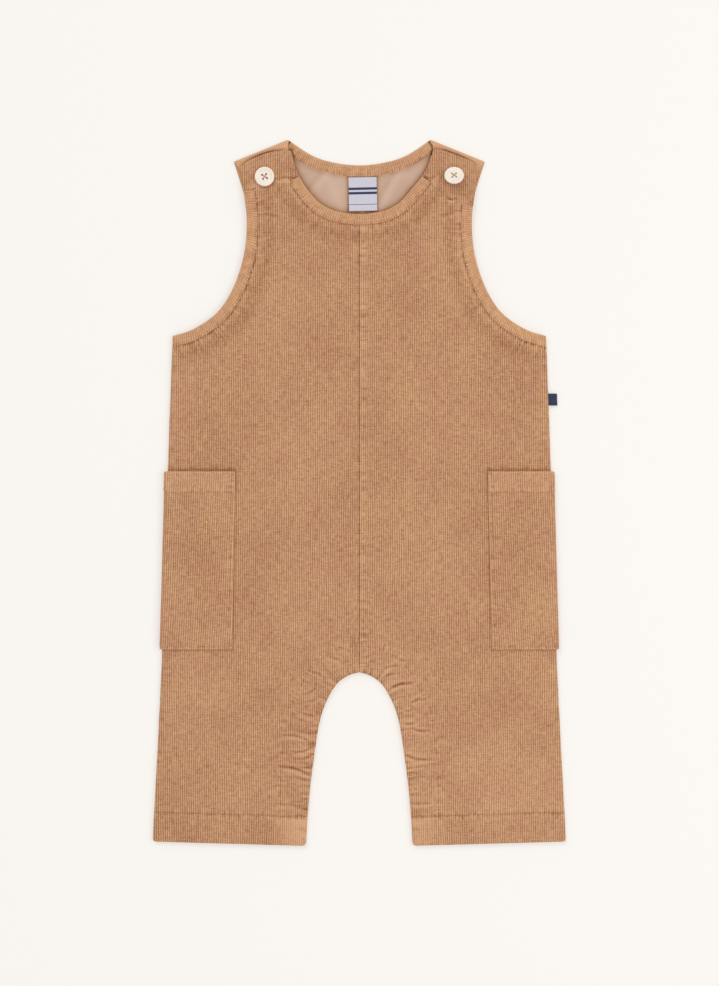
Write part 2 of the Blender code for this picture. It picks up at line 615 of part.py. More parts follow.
def back_panel(side):
    arm_edge = armhole_edge(ARMHOLE_BACK_TOP)
    arm_end = distances(arm_edge)[-1] - BACK_BANDS_STOP
    arm_seam = band_seam(arm_edge, arm_band_seam(ARMHOLE_BACK_TOP, BAND_WIDTH + SEAM_GAP), arm_end)
    neck_edge = back_neck_edge()
    neck_end = distances(neck_edge)[-1] - BACK_BANDS_STOP
    neck_seam = band_seam(neck_edge, neck_band_seam(neck_edge, BACK_NECK_BAND_WIDTH + SEAM_GAP),
                          neck_end)
    neck_step = at(neck_edge, neck_end + SEAM_GAP)
    arm_step = at(arm_edge, arm_end + SEAM_GAP)
    axis = [point - FOLD_REACH * FOLD_UP for point in (FOLD_START, FOLD_END)]
    base = straight((CENTRE_X, UNDERARM_ROW), neck_seam[0])
    arm_middle = CHEST_SHARE["back"] * distances(arm_seam)[-1]
    turn = [axis[0] + FOLD_TURN * FOLD_UP, axis[1] + FOLD_TURN * FOLD_UP]
    shift = TAB_SHIFT[side]
    tab = [[axis[0] + (row.neck_side + shift) * FOLD_ALONG + row.past_fold * FOLD_UP
            for row in TAB],
           [axis[1] - row.arm_side * FOLD_ALONG + row.past_fold * FOLD_UP for row in TAB]]
    strips = leg_strips(*LEG_ROWS["back"])
    strips += [
        Strip(base, stretch(arm_seam, 0.0, arm_middle),
              "butt", "butt", -1.0, 0.0, even(CHEST_ROWS["back"])),
        Strip(neck_seam, stretch(arm_seam, arm_middle, distances(arm_seam)[-1]),
              "butt", "butt", 0.0, 0.0, even(STRAP_FOOT_ROWS["back"])),
        Strip(straight(neck_seam[-1], neck_step), straight(arm_seam[-1], arm_step),
              "free", "free", 0.0, 0.0, even(1)),
        Strip(straight(neck_step, axis[0]), straight(arm_step, axis[1]),
              "free", "free", 0.0, 0.0, even(1)),
        Strip(straight(axis[0], turn[0]), straight(axis[1], turn[1]),
              "free", "free", 0.0, 0.0, even(FOLD_ROWS)),
    ]
    ends = zip([turn[0]] + tab[0][:-1], tab[0], [turn[1]] + tab[1][:-1], tab[1])
    strips += [Strip(straight(low_in, high_in), straight(low_out, high_out),
                     "free", "free", 0.0, 0.0, even(1)) for low_in, high_in, low_out, high_out in ends]
    rows = panel_rows(strips)
    round_corners(rows, HEM_ROUND)
    rings = [wall_ring(row, side, back_face, back_inside, seam_height, -1.0) for row in rows]
    close_fold(rings)
    return [[[fold_over(point) for point in chain] for chain in ring] for ring in rings]


def fold_over(point):
    """Turn what lies past the shoulder fold over and back down, above the back."""
    x, y, z = point
    axis_start = FOLD_START - FOLD_REACH * FOLD_UP
    past = float(np.dot((x, y) - axis_start, FOLD_UP))
    if past <= 0.0 or y < FRONT_NECK[0].y:
        return point
    foot = np.array([x, y]) - past * FOLD_UP
    radius = FOLD_REACH - z
    angle = min(math.pi, past / FOLD_RADIUS)
    along = radius * math.sin(angle) - max(0.0, past - FOLD_TURN)
    x, y = foot + along * FOLD_UP
    return (x, y, FOLD_REACH - radius * math.cos(angle))


# ================================ bands, lining, labels, pockets =====================================
def band_rings(edge, seam, under, wall):
    """Rings across a band, one at each pair of points on its free edge and its seam."""
    rings = []
    for start, end in zip(edge, seam):
        x0, y0 = start
        x1, y1 = end
        ring = []
        for across in BAND_SECTION:
            x = x0 + (x1 - x0) * across.share
            y = y0 + (y1 - y0) * across.share
            ring.append((x, y, under(x, y) + across.rise * wall(x, y)))
        bottom = [(x0 + (x1 - x0) * part, y0 + (y1 - y0) * part) for part in BAND_BOTTOM]
        rings.append(ring + [(x, y, under(x, y)) for x, y in bottom])
    return rings


def evenly(line, count):
    """A line's points at even distances."""
    total = distances(line)[-1]
    return np.array([at(line, total * index / count) for index in range(count + 1)])


def arm_band(side, top, end_height, under, wall):
    edge = armhole_edge(top)
    end = reach(edge, end_height)
    seam = band_seam(edge, arm_band_seam(top, BAND_WIDTH), end)
    rings = band_rings(evenly(stretch(edge, 0.0, end), ARM_BAND_STEPS),
                       evenly(seam, ARM_BAND_STEPS), under, wall)
    drop = end_at_side_seam(rings[0], side)
    return [drop] + rings[1:]


def end_at_side_seam(ring, side):
    """A band's first ring, brought down to meet the back's band at the side seam."""
    low = min(z for _, _, z in ring)
    above = low > WALL
    middle = seam_height(ring[0][0], ring[0][1], side)
    lowered = []
    for x, y, z in ring:
        share = (z - low) / BAND_WALL
        if above:
            lowered.append((x, y, middle + SEAM_GAP / 2.0 + BAND_END_WALL * share))
        else:
            thin = 1.0 - min(1.0, share * BAND_END_FULLNESS)
            lowered.append((x, y, middle - SEAM_GAP / 2.0 - BAND_END_WALL * thin))
    return lowered


def mirrored(rings):
    return [[(-x, y, z) for x, y, z in ring] for ring in rings]


def neck_band(edges, ends, width, steps, under, wall):
    """One band across the centre, from its end on the left strap to its end on the right."""
    halves = []
    for edge, end in zip(edges, ends):
        seam = neck_band_seam(edge, width)
        seam[0][0] = 0.0
        seam = band_seam(edge, seam, end)
        halves.append(band_rings(evenly(stretch(edge, 0.0, end), steps), evenly(seam, steps),
                                 under, wall))
    left, right = halves
    return mirrored(left)[::-1][:-1] + right


def back_neck_wall(x, _):
    """The back neck band thins out where it runs in under the turned strap ends."""
    return BACK_NECK_BAND_WALL - (BACK_NECK_BAND_WALL - WALL) * ramp(abs(x), *BACK_NECK_THINNING)


def lining_rings():
    """The lining, in rings from side to side, up to the back neck band's seam."""
    seam = neck_band_seam(back_neck_edge(), BACK_NECK_BAND_WIDTH + SEAM_GAP)
    low = BACK_NECK_BAND_WALL - LINING_WALL - LINING_BELOW_BAND
    rings = []
    for share in np.linspace(-1.0, 1.0, LINING_COLUMNS + 1):
        sides = np.array(LINING_SIDES["left" if share < 0.0 else "right"])
        x_top = share * sides[-1][0]
        top = float(np.interp(abs(x_top), seam[:, 0], seam[:, 1])) - LINING_TOP_GAP
        column = []
        for height in LINING_ROWS:
            y = LINING_LOW + (top - LINING_LOW) * height
            limit = float(np.interp(y, sides[:, 1], sides[:, 0]))
            column.append((share * limit, y))
        rings.append([(x, y, low + LINING_WALL) for x, y in column]
                     + [(x, y, low) for x, y in column[::-1]])
    return rings


def neck_label_rings():
    """The neck label, hung from the back neck band, its lower corners lifting a little."""
    turn = math.radians(NECK_LABEL["turn"])
    rings = []
    for down in np.linspace(0.0, 1.0, LABEL_STEPS + 1):
        chain = []
        for across in np.linspace(-0.5, 0.5, LABEL_STEPS + 1):
            u, v = across * NECK_LABEL["width"], -down * NECK_LABEL["height"]
            x = NECK_LABEL["x"] + u * math.cos(turn) - v * math.sin(turn)
            y = NECK_LABEL["top"] + u * math.sin(turn) + v * math.cos(turn)
            lift = NECK_LABEL["curl"] * down ** 2 * (2.0 * abs(across)) ** 2
            chain.append((x, y, FRONT_UNDER + lift))
        rings.append([(x, y, z + LABEL_WALL) for x, y, z in chain] + chain[::-1])
    return rings


def side_label_rings():
    """The folded side label, held in the right side seam and drooping outwards."""
    side = side_seam()
    rings = []
    for share in np.linspace(0.0, 1.0, SIDE_LABEL_STEPS + 1):
        ring = []
        for up, lift in ((-0.5, 1.0), (0.5, 1.0), (0.5, 0.0), (-0.5, 0.0)):
            y = SIDE_LABEL["y"] + up * SIDE_LABEL["width"]
            root = float(np.interp(y, side[:, 1], side[:, 0])) + SEAM_GAP
            z = SIDE_LABEL["height"] - SIDE_LABEL["droop"] * share ** 2
            ring.append((root + share * SIDE_LABEL["length"], y, z + lift * SIDE_LABEL["wall"]))
        rings.append(ring)
    return rings


def pocket_rings(side):
    """A patch pocket: one ring for each height, from its back edge round to its front edge."""
    seam = side_seam()
    high = FRONT_UNDER + FRONT_LIFT + WALL + SEAM_GAP + WALL
    outer, inner = high / 2.0, high / 2.0 - WALL
    rows = POCKET_BODY_ROWS + (POCKET_STITCH_ROW,) + POCKET_HEM_ROWS
    rings = []
    for rise in rows:
        y = POCKET_LOW + rise
        x_in = width_at(POCKET_INNER[side], y)
        turn_x = float(np.interp(y, seam[:, 1], seam[:, 0])) + width_at(POCKET_PROUD, y) - outer
        hem = ramp(rise, POCKET_STITCH_ROW, POCKET_HEM_ROWS[0])
        thin = {rows[0]: POCKET_THIN["low"], rows[-1]: POCKET_THIN["high"]}.get(rise, 0.0)
        groove = POCKET_GROOVE if rise == POCKET_STITCH_ROW else 0.0
        face, inside = [], []
        for ease in POCKET_EDGE:
            face.append((x_in + ease.inset, y, thin + ease.back))
            inside.append((x_in + ease.inset, y, WALL - thin / 2.0))
        for step in range(POCKET_TURN_STEPS + 1):
            angle = math.pi * step / POCKET_TURN_STEPS - math.pi / 2.0
            out = outer - thin + POCKET_HEM_OUT * hem * max(0.0, math.sin(angle))
            within = inner + thin / 2.0
            face.append((turn_x + out * math.cos(angle), y, outer + out * math.sin(angle)))
            inside.append((turn_x + within * math.cos(angle), y, outer + within * math.sin(angle)))
        for ease in POCKET_EDGE[::-1]:
            top = high + POCKET_HEM_RISE * hem - groove - ease.front - thin
            face.append((x_in + ease.inset, y, top))
            inside.append((x_in + ease.inset, y, high - WALL + thin / 2.0))
        rings.append(face + inside[::-1])
    return rings


# ================================ meshes ==============================================================
def new_object(name, mesh, material, angle=40.0):
    """Link a finished mesh as an object of its own, shaded smooth but for its sharp edges."""
    mesh.materials.append(material)
    mesh.shade_smooth()
    mesh.set_sharp_from_angle(angle=math.radians(angle))
    thing = bpy.data.objects.new(name, mesh)
    bpy.context.collection.objects.link(thing)
    return thing


def loft(name, rings, material, strip_caps=True):
    """A closed body through rings of points, with quads or one face across each end."""
    bm = bmesh.new()
    loops = [[bm.verts.new((x * MM, (y - LENGTH / 2.0) * MM, z * MM)) for x, y, z in ring]
             for ring in rings]
    for low, high in zip(loops, loops[1:]):
        for index in range(len(low)):
            after = (index + 1) % len(low)
            bm.faces.new((low[index], low[after], high[after], high[index]))
    for loop in (loops[0], loops[-1]):
        if strip_caps:
            for index in range(len(loop) // 2 - 1):
                bm.faces.new((loop[index], loop[index + 1], loop[-index - 2], loop[-index - 1]))
        else:
            bm.faces.new(loop)
    bmesh.ops.recalc_face_normals(bm, faces=bm.faces)
    mesh = bpy.data.meshes.new(name)
    bm.to_mesh(mesh)
    bm.free()
    return new_object(name, mesh, material)


def closed(rings):
    """Rings of a panel: the face across, then the inside back."""
    return [list(face) + list(inside)[::-1] for face, inside in rings]


def button_mesh(name):
    """A turned button: a profile spun round its axis, dished inside a raised rim."""
    radius = BUTTON_DIAMETER / 2.0
    bm = bmesh.new()
    profile = [bm.verts.new((ring.radius * radius * MM, 0.0, ring.height * BUTTON_HEIGHT * MM))
               for ring in BUTTON_PROFILE]
    edges = [bm.edges.new(pair) for pair in zip(profile, profile[1:])]
    bmesh.ops.spin(bm, geom=profile + edges, cent=(0, 0, 0), axis=(0, 0, 1), dvec=(0, 0, 0),
                   angle=math.tau, steps=BUTTON_SEGMENTS, use_merge=True)
    bmesh.ops.remove_doubles(bm, verts=bm.verts, dist=1e-6)
    bmesh.ops.recalc_face_normals(bm, faces=bm.faces)
    mesh = bpy.data.meshes.new(name)
    bm.to_mesh(mesh)
    bm.free()
    return mesh


def button_holes(name):
    """The cutter for the four thread holes."""
    bm = bmesh.new()
    radius = BUTTON_HOLE / 2.0 * MM
    reach_out = BUTTON_HOLE_SPACING / math.sqrt(2.0) * MM
    for turn in range(BUTTON_HOLES):
        angle = math.tau * (turn + 0.5) / BUTTON_HOLES
        made = bmesh.ops.create_cone(bm, cap_ends=True, segments=BUTTON_HOLE_SEGMENTS,
                                     radius1=radius, radius2=radius, depth=3.0 * BUTTON_HEIGHT * MM)
        bmesh.ops.translate(bm, verts=made["verts"],
                            vec=(reach_out * math.cos(angle), reach_out * math.sin(angle), 0.0))
    mesh = bpy.data.meshes.new(name)
    bm.to_mesh(mesh)
    bm.free()
    return mesh


def add_button(side, material):
    place = BUTTONS[side]
    button = new_object("button_" + side, button_mesh("button_" + side), material, angle=50.0)
    cutter = bpy.data.objects.new("cutter_button_" + side, button_holes("cutter_button_" + side))
    bpy.context.collection.objects.link(cutter)
    cutter.parent = button
    cutter.hide_render = True
    cutter.display_type = "WIRE"
    cut = button.modifiers.new("thread holes", "BOOLEAN")
    cut.operation = "DIFFERENCE"
    cut.solver = "EXACT"
    cut.object = cutter
    tilt = math.radians(place.tilt)
    rest = front_face(place.x, place.y, side) + SEAM_GAP
    lift = BUTTON_PROFILE[1].radius * BUTTON_DIAMETER / 2.0 * math.sin(tilt)
    button.location = (place.x * MM, (place.y - LENGTH / 2.0) * MM, (rest + lift) * MM)
    button.rotation_euler = (-tilt, 0.0, math.radians(place.turn))
    return button


def cloth_material(name, colour, roughness=CLOTH_ROUGHNESS):
    material = bpy.data.materials.new(name)
    material.use_nodes = True
    shader = material.node_tree.nodes["Principled BSDF"]
    shader.inputs["Base Color"].default_value = (*colour, 1.0)
    shader.inputs["Roughness"].default_value = roughness
    shader.inputs["Metallic"].default_value = 0.0
    return material


def clear_scene():
    for thing in list(bpy.data.objects):
        bpy.data.objects.remove(thing)


def build_side(side):
    """The panels, bands, pocket and button of one half."""
    turned = mirrored if side == "left" else list
    loft("front_" + side, turned(closed(front_panel(side))),
         cloth_material("corduroy front " + side, CORDUROY))
    loft("back_" + side, turned(closed(back_panel(side))),
         cloth_material("corduroy back " + side, CORDUROY))
    front_band = arm_band(side, ARMHOLE_FRONT_TOP, FRONT_ARM_BAND_TOP[side],
                          lambda x, y: front_inside(x, y, side), lambda x, y: BAND_WALL)
    loft("armhole_band_front_" + side, turned(front_band),
         cloth_material("corduroy band front " + side, TRIM_CORDUROY), strip_caps=False)
    edge = armhole_edge(ARMHOLE_BACK_TOP)
    end = at(edge, distances(edge)[-1] - BACK_BANDS_STOP)[1]
    back_band = arm_band(side, ARMHOLE_BACK_TOP, end,
                         lambda x, y: 0.0, lambda x, y: BACK_ARM_BAND_WALL)
    loft("armhole_band_back_" + side, turned(back_band),
         cloth_material("corduroy band back " + side, TRIM_CORDUROY), strip_caps=False)
    loft("pocket_" + side, turned(pocket_rings(side)),
         cloth_material("corduroy pocket " + side, TRIM_CORDUROY))
    add_button(side, cloth_material("ivory button " + side, BUTTON_IVORY, 0.35))


def build_centre():
    """The pieces that cross the centre, and the side label."""
    edges = [front_neck_edge("left"), front_neck_edge("right")]
    ends = [reach(edge, FRONT_NECK_BAND_TOP) for edge in edges]
    loft("front_neck_band",
         neck_band(edges, ends, BAND_WIDTH, FRONT_NECK_STEPS,
                   lambda x, y: front_inside(x, y, "left"), lambda x, y: BAND_WALL),
         cloth_material("corduroy neck band", TRIM_CORDUROY), strip_caps=False)
    edges = [back_neck_edge(), back_neck_edge()]
    ends = [distances(edge)[-1] - BACK_BANDS_STOP for edge in edges]
    loft("back_neck_band",
         neck_band(edges, ends, BACK_NECK_BAND_WIDTH, BACK_NECK_STEPS,
                   lambda x, y: 0.0, back_neck_wall),
         cloth_material("corduroy back neck band", TRIM_CORDUROY), strip_caps=False)
    loft("back_lining", lining_rings(), cloth_material("lining poplin", LINING_CLOTH, 0.8))
    loft("neck_label", neck_label_rings(), cloth_material("label satin", LABEL_WHITE, 0.5))
    loft("side_label", side_label_rings(), cloth_material("label twill", LABEL_NAVY, 0.7),
         strip_caps=False)


clear_scene()
for which in ("left", "right"):
    build_side(which)
build_centre()
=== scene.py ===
"""Sleeveless baby jumpsuit in fine corduroy, laid flat face up: its cloth, sewing, buttons and light.

The tables are in millimetres. Heights (y) count up from the lowest point of the hems and widths (x)
out from the centre seam, so a point lies at (x, y - 270.75, z) in the frame. Each cloth piece is a thin
shell on its solid's form: a grid whose columns follow the wales, three columns to a wale.
"""

import math
from collections import namedtuple

import bmesh
import bpy
import numpy as np
from mathutils import Matrix, Vector


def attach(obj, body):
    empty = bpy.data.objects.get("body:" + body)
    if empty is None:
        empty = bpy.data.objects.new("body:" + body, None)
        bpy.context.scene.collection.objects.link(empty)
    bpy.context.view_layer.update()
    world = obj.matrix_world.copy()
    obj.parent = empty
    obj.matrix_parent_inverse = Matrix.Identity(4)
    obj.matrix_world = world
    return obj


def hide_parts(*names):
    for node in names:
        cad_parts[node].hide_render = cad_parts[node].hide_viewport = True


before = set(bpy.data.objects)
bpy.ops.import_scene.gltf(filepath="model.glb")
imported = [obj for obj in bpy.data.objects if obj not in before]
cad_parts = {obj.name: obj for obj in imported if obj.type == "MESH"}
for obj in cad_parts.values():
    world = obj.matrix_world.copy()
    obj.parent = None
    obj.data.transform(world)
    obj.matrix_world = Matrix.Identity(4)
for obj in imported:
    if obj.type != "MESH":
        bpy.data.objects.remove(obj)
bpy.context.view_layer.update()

bl_info = {
    "name": "Corduroy jumpsuit",
    "version": (1, 0, 0),
    "blender": (4, 5, 0),
    "location": "3D View > Sidebar > Jumpsuit",
    "description": "Builds a baby jumpsuit in fine corduroy, laid flat, with its sewing and buttons",
    "category": "Add Mesh",
}

MM = 0.001
LENGTH = 541.5
SIDES = ("left", "right")
SEEDS = {"left": 0.4, "right": 2.1}     # start the waves of each side's panel

Point = namedtuple("Point", "x y")
Crease = namedtuple("Crease", "x1 y1 x2 y2 width height")
Span = namedtuple("Span", "high step")
Across = namedtuple("Across", "share rise")
Mark = namedtuple("Mark", "height centre width")
Pucker = namedtuple("Pucker", "gain spacing reach seed")
Fold = namedtuple("Fold", "height x lean y width under_label")
Ring = namedtuple("Ring", "down out under")
Turned = namedtuple("Turned", "radius height")
Tab = namedtuple("Tab", "past_fold neck_side arm_side")
Button = namedtuple("Button", "x y tilt turn")

# ---- sizes that the solids have too ----
WALL = 1.4
HEM_DEPTH = 21.3
HEM_SLOPE = 3.3
HEM_RISE = 0.32               # the turned hem's face over the plain front's
BAND_WIDTH = 8.5
BACK_NECK_BAND_WIDTH = 9.4    # laps over the lining
FRONT_UNDER = 3.0
FRONT_FACE = FRONT_UNDER + WALL
FRONT_LIFT = 0.6              # over a pocket's back part and over the turned straps
BACK_LIFT = 1.7
SEAM_HEIGHT = 2.2             # where front and back meet at a side seam
POCKET_SEAM_HEIGHT = 3.35
POCKET_LOW = 150.5
POCKET_HIGH = 286.9
POCKET_RAMP = 5.8
POCKET_MARGIN = 0.5           # the cloth over and under a pocket is level this far past it
POCKET_FACE = 6.7
POCKET_HEM = 13.0
FOLD_RADIUS = 0.95
FOLD_REACH = FOLD_RADIUS + WALL / 2.0
TAB_LENGTH = 38.0
BUTTON_DIAMETER = 15.1
BUTTON_HEIGHT = 2.6
BUTTON_HOLE = 1.5
BUTTON_HOLE_SPACING = 3.2

SIDE_SEAM = (Point(158.5, HEM_SLOPE), Point(151.3, 146.0), Point(146.6, 296.0),
             Point(143.2, 390.7))
INSEAM = (Point(41.0, 0.0), Point(39.8, 20.0), Point(37.9, 43.0), Point(34.7, 68.0),
          Point(30.4, 95.0), Point(25.7, 109.5), Point(16.3, 124.9), Point(6.9, 131.0),
          Point(0.0, 132.5))
ARMHOLE = (Point(143.2, 390.7), Point(128.0, 395.6), Point(109.5, 408.3), Point(97.6, 425.9),
           Point(88.5, 453.0), Point(86.3, 480.0), Point(88.1, 497.0))
ARMHOLE_FRONT_TOP = Point(91.2, 521.4)
ARMHOLE_BACK_TOP = Point(96.2, 524.7)
FRONT_NECK = (Point(0.0, 484.3), Point(18.4, 486.8), Point(29.9, 492.6), Point(39.8, 503.3))
FRONT_NECK_TOP = {"left": (Point(47.9, 517.0), Point(52.6, 533.3)),
                  "right": (Point(50.4, 517.0), Point(57.4, 534.5))}
STRAP_BEND = {"left": 1.0, "right": 0.4}   # a strap's end falls late, towards the armhole
BACK_NECK = (Point(0.0, 521.9), Point(16.1, 523.4), Point(34.5, 528.6), Point(54.7, 541.5))
FRONT_NECK_BAND_TOP = 513.0
FRONT_ARM_BAND_TOP = {"left": 502.0, "right": 490.0}
BACK_BANDS_STOP = 2.6
TAB = (Tab(3.2, 1.2, 0.8), Tab(8.0, 3.6, 2.2), Tab(30.0, 7.5, 6.0), Tab(35.5, 9.5, 8.0),
       Tab(TAB_LENGTH, 13.5, 12.0))
TAB_SHIFT = {"left": 0.0, "right": 2.0}
FACING = (Point(61.0, 23.0), Point(60.0, 66.0), Point(54.4, 105.0), Point(38.3, 134.8),
          Point(20.7, 150.0), Point(0.0, 154.7))
POCKET_INNER = {"left": (Point(97.5, POCKET_LOW), Point(95.2, POCKET_HIGH)),
                "right": (Point(101.6, POCKET_LOW), Point(98.6, POCKET_HIGH))}
POCKET_PROUD = (Point(2.2, POCKET_LOW), Point(2.5, POCKET_HIGH))
LINING_SIDES = {
    "left": (Point(41.0, 478.0), Point(41.0, 496.0), Point(46.5, 508.0), Point(50.3, 517.0),
             Point(52.3, 525.0)),
    "right": (Point(43.0, 478.0), Point(43.0, 496.0), Point(48.5, 508.0), Point(52.4, 517.0),
              Point(54.3, 525.0)),
}
LABEL_CUTS = (0.0, 0.30, 0.375, 0.43, 0.505, 0.80, 0.815)   # where its stripes start and stop
NECK_LABEL = {"x": 2.4, "top": 512.4, "width": 21.4, "height": 25.6, "turn": 1.3,
              "curl": 0.7, "wave": 0.18, "z": 3.35}
SIDE_LABEL = {"y": 342.1, "width": 9.2, "length": 6.9, "droop": 0.9, "height": 1.6,
              "fold": 0.42}
BUTTONS = {"left": Button(-72.5, 512.6, 0.0, 12.0), "right": Button(72.5, 513.7, 26.0, 4.0)}

# ---- the cloth's own sizes ----
COLUMNS_PER_WALE = 3
SEAM_ROLL = 2.6               # a panel's face rolls down to its seam within this width
FREE_ROLL = 0.9               # and at a turned edge within this
FREE_DROP = 0.45
UNDER_BAND = 1.1              # a panel stops this far inside its bands' outer edges
# Spacing of the rows of each grid up to a height, closer where the form changes.
FRONT_ROWS = (Span(3.0, 0.6), Span(18.0, 2.5), Span(25.0, 0.9), Span(112.0, 1.0), Span(134.0, 0.8),
              Span(160.0, 1.2), Span(380.0, 2.3), Span(400.0, 1.3), Span(484.0, 1.9),
              Span(526.0, 1.5))
BACK_ROWS = (Span(3.0, 0.6), Span(18.0, 3.0), Span(25.0, 1.2), Span(112.0, 3.0), Span(134.0, 1.2),
             Span(380.0, 3.4), Span(400.0, 1.6), Span(526.0, 2.8), Span(536.6, 0.45),
             Span(575.0, 1.6))
POCKET_ROWS = (Span(3.0, 0.6), Span(118.0, 2.1), Span(128.0, 0.9), Span(134.4, 1.6),
               Span(136.4, 0.5))
STRAP_END_ROWS = np.array([2.6, 1.8, 1.1, 0.5, 0.0])   # below the strap's end, at its middle
HEM_CORNER = 2.4
STRAP_CORNER = 2.6
EDGE_RINGS = (Ring(0.35, 0.14, 0.0), Ring(0.75, 0.10, 0.0), Ring(1.0, -0.15, 0.0),
              Ring(1.0, 0.0, 1.0))        # a turned edge, as shares of the wall, mm and of the lip
WIDEST_LIP = 5.0
MERGE = 0.004 * MM            # vertices nearer than this are one
NO_AREA = 1e-13
ON_LINE = 0.35                # an edge of the mesh this near a line is on it
STRAP_WIDTH = 38.0
DOUBLED = 0.3                 # how far turned-in cloth beneath lifts the face
POCKET_SEWN = 1.6             # a pocket's stitches lie this far in from its edge
POCKET_DROP = 0.75            # and its face rolls down this much at its edge
POCKET_ROLL = 1.1             # within this width
STITCH_SHARE = 0.8            # of a stitch's pitch is thread
BAND_STITCH_RISE = 0.84       # as a share of the band's thickness
HEM_STITCH_HEIGHT = 4.12
FACING_STITCH_HEIGHT = 4.28
POCKET_STITCH_HEIGHT = POCKET_FACE - 0.38
POCKET_HEM_STITCH_HEIGHT = POCKET_FACE - 0.36
BACK_NECK_ROWS = (Across(0.66, 1.02), Across(0.36, 1.04))   # stitches: share of width and of height
LINING_GRID = (180, 60)       # columns and rows
NECK_LABEL_GRID = (24, 34)
SIDE_LABEL_GRID = (30, 12)
LINING_HEIGHT = 2.42
LINING_DEPTH = 0.42           # of its folds
CORNER_CUT = 1.2              # a strap's rounded corner strays this far from its two edges
STRAP_GAPE = 0.8              # a strap's end stands this much off the turned cloth beneath it
STRAP_FROM = 468.0            # from this height to the next, the rows turn to the strap's slant
STRAP_TO = 515.0

# ---- creases: dark troughs with a soft ridge along their lower side, the strap's last ----
CREASES = {
    "right": (
        Crease(7.5, 134.9, 11.8, 135.0, 1.2, 0.5), Crease(18.5, 135.2, 32.0, 138.0, 1.4, 0.7),
        Crease(16.9, 128.2, 29.6, 132.0, 1.2, 0.6), Crease(23.4, 120.7, 40.6, 124.5, 1.6, 1.1),
        Crease(39.4, 109.5, 49.2, 112.6, 1.5, 0.8), Crease(31.9, 105.1, 38.4, 103.5, 1.1, 0.5),
        Crease(31.4, 94.4, 43.8, 94.4, 1.4, 1.0), Crease(40.6, 90.1, 54.5, 88.2, 1.4, 0.9),
        Crease(33.5, 84.3, 39.4, 85.3, 1.2, 0.7), Crease(35.0, 74.0, 43.4, 72.9, 1.1, 0.4),
        Crease(35.0, 69.7, 55.7, 66.4, 1.6, 1.0), Crease(46.4, 53.9, 52.0, 52.6, 1.2, 0.5),
        Crease(39.6, 46.0, 46.0, 42.9, 1.2, 0.5), Crease(40.4, 33.1, 55.7, 33.1, 1.3, 0.5),
        Crease(41.0, 19.7, 47.0, 19.7, 1.2, 0.5), Crease(44.0, 60.5, 62.0, 62.0, 2.2, 0.3),
        Crease(56.0, 79.0, 66.0, 84.0, 2.4, 0.3), Crease(60.0, 47.0, 70.0, 41.0, 2.4, 0.3),
        Crease(3.5, 143.0, 14.0, 147.5, 1.4, 0.4), Crease(27.0, 146.0, 37.0, 141.0, 1.5, 0.4),
        Crease(67.5, 496.2, 75.0, 496.2, 1.3, 1.2), Crease(60.0, 505.0, 66.0, 516.0, 1.6, 0.3),
        Crease(62.0, 481.0, 78.0, 487.0, 2.2, 0.3),
    ),
    "left": (
        Crease(26.5, 128.5, 37.0, 133.5, 1.4, 0.5), Crease(33.0, 122.0, 42.0, 116.0, 1.4, 0.6),
        Crease(30.5, 113.8, 41.0, 110.5, 1.3, 0.5), Crease(32.5, 97.6, 45.0, 101.0, 1.4, 0.7),
        Crease(33.0, 92.6, 40.0, 91.8, 1.2, 0.7), Crease(30.5, 87.5, 44.0, 86.8, 1.2, 0.5),
        Crease(39.5, 81.0, 60.0, 84.5, 1.5, 0.8), Crease(36.5, 75.4, 52.0, 71.5, 1.4, 0.8),
        Crease(36.0, 69.5, 50.0, 66.5, 1.3, 0.6), Crease(33.0, 61.8, 46.0, 60.3, 1.4, 0.9),
        Crease(38.0, 54.0, 62.0, 60.8, 1.7, 0.9), Crease(40.0, 49.5, 54.0, 53.0, 1.3, 0.5),
        Crease(39.0, 37.0, 52.0, 34.0, 1.4, 0.4), Crease(39.5, 27.5, 66.0, 31.2, 1.6, 0.5),
        Crease(52.0, 92.0, 64.0, 95.5, 2.2, 0.3), Crease(58.0, 72.0, 70.0, 66.0, 2.4, 0.3),
        Crease(5.0, 148.0, 17.0, 151.5, 1.4, 0.4), Crease(12.0, 139.5, 24.0, 145.0, 1.5, 0.5),
        Crease(62.0, 47.0, 73.0, 43.0, 2.4, 0.3), Crease(84.0, 60.0, 97.0, 64.0, 3.0, 0.22),
        Crease(57.0, 512.2, 65.0, 511.0, 1.3, 1.2), Crease(51.0, 509.5, 57.5, 512.2, 1.3, 1.2),
        Crease(79.5, 504.3, 85.0, 502.6, 1.3, 1.1), Crease(78.0, 497.0, 86.0, 498.5, 1.4, 0.4),
        Crease(60.0, 480.0, 76.0, 484.0, 2.2, 0.3),
    ),
}

# ---- waves drawn up by a row of stitches: gain on the pucker's height, spacing, reach and seed ----
FACING_PUCKERS = (Pucker(1.5, 4.6, 3.8, 1.9),)
INSEAM_PUCKERS = (Pucker(2.2, 6.7, 13.0, 0.7), Pucker(1.9, 3.4, 11.0, 2.2))
SIDE_PUCKERS = (Pucker(1.0, 5.9, 5.0, 1.1),)
HEM_PUCKERS = (Pucker(1.4, 4.6, 4.0, 1.4),)
NECK_PUCKERS = (Pucker(1.5, 4.1, 7.5, 1.5),)
ARM_PUCKERS = (Pucker(2.2, 4.1, 7.5, 2.2),)
CENTRE_PUCKERS = {"left": (Pucker(0.9, 4.9, 3.0, 2.9),), "right": (Pucker(1.0, 4.3, 3.8, 0.9),)}
BACK_PUCKERS = (Pucker(0.5, 7.0, 5.0, 0.6),)
POCKET_HEM_PUCKERS = (Pucker(1.4, 4.5, 3.6, 0.8),)
POCKET_SIDE_PUCKERS = (Pucker(1.7, 4.3, 5.0, 1.9),)
POCKET_LOW_PUCKERS = (Pucker(1.2, 4.9, 3.4, 2.6),)
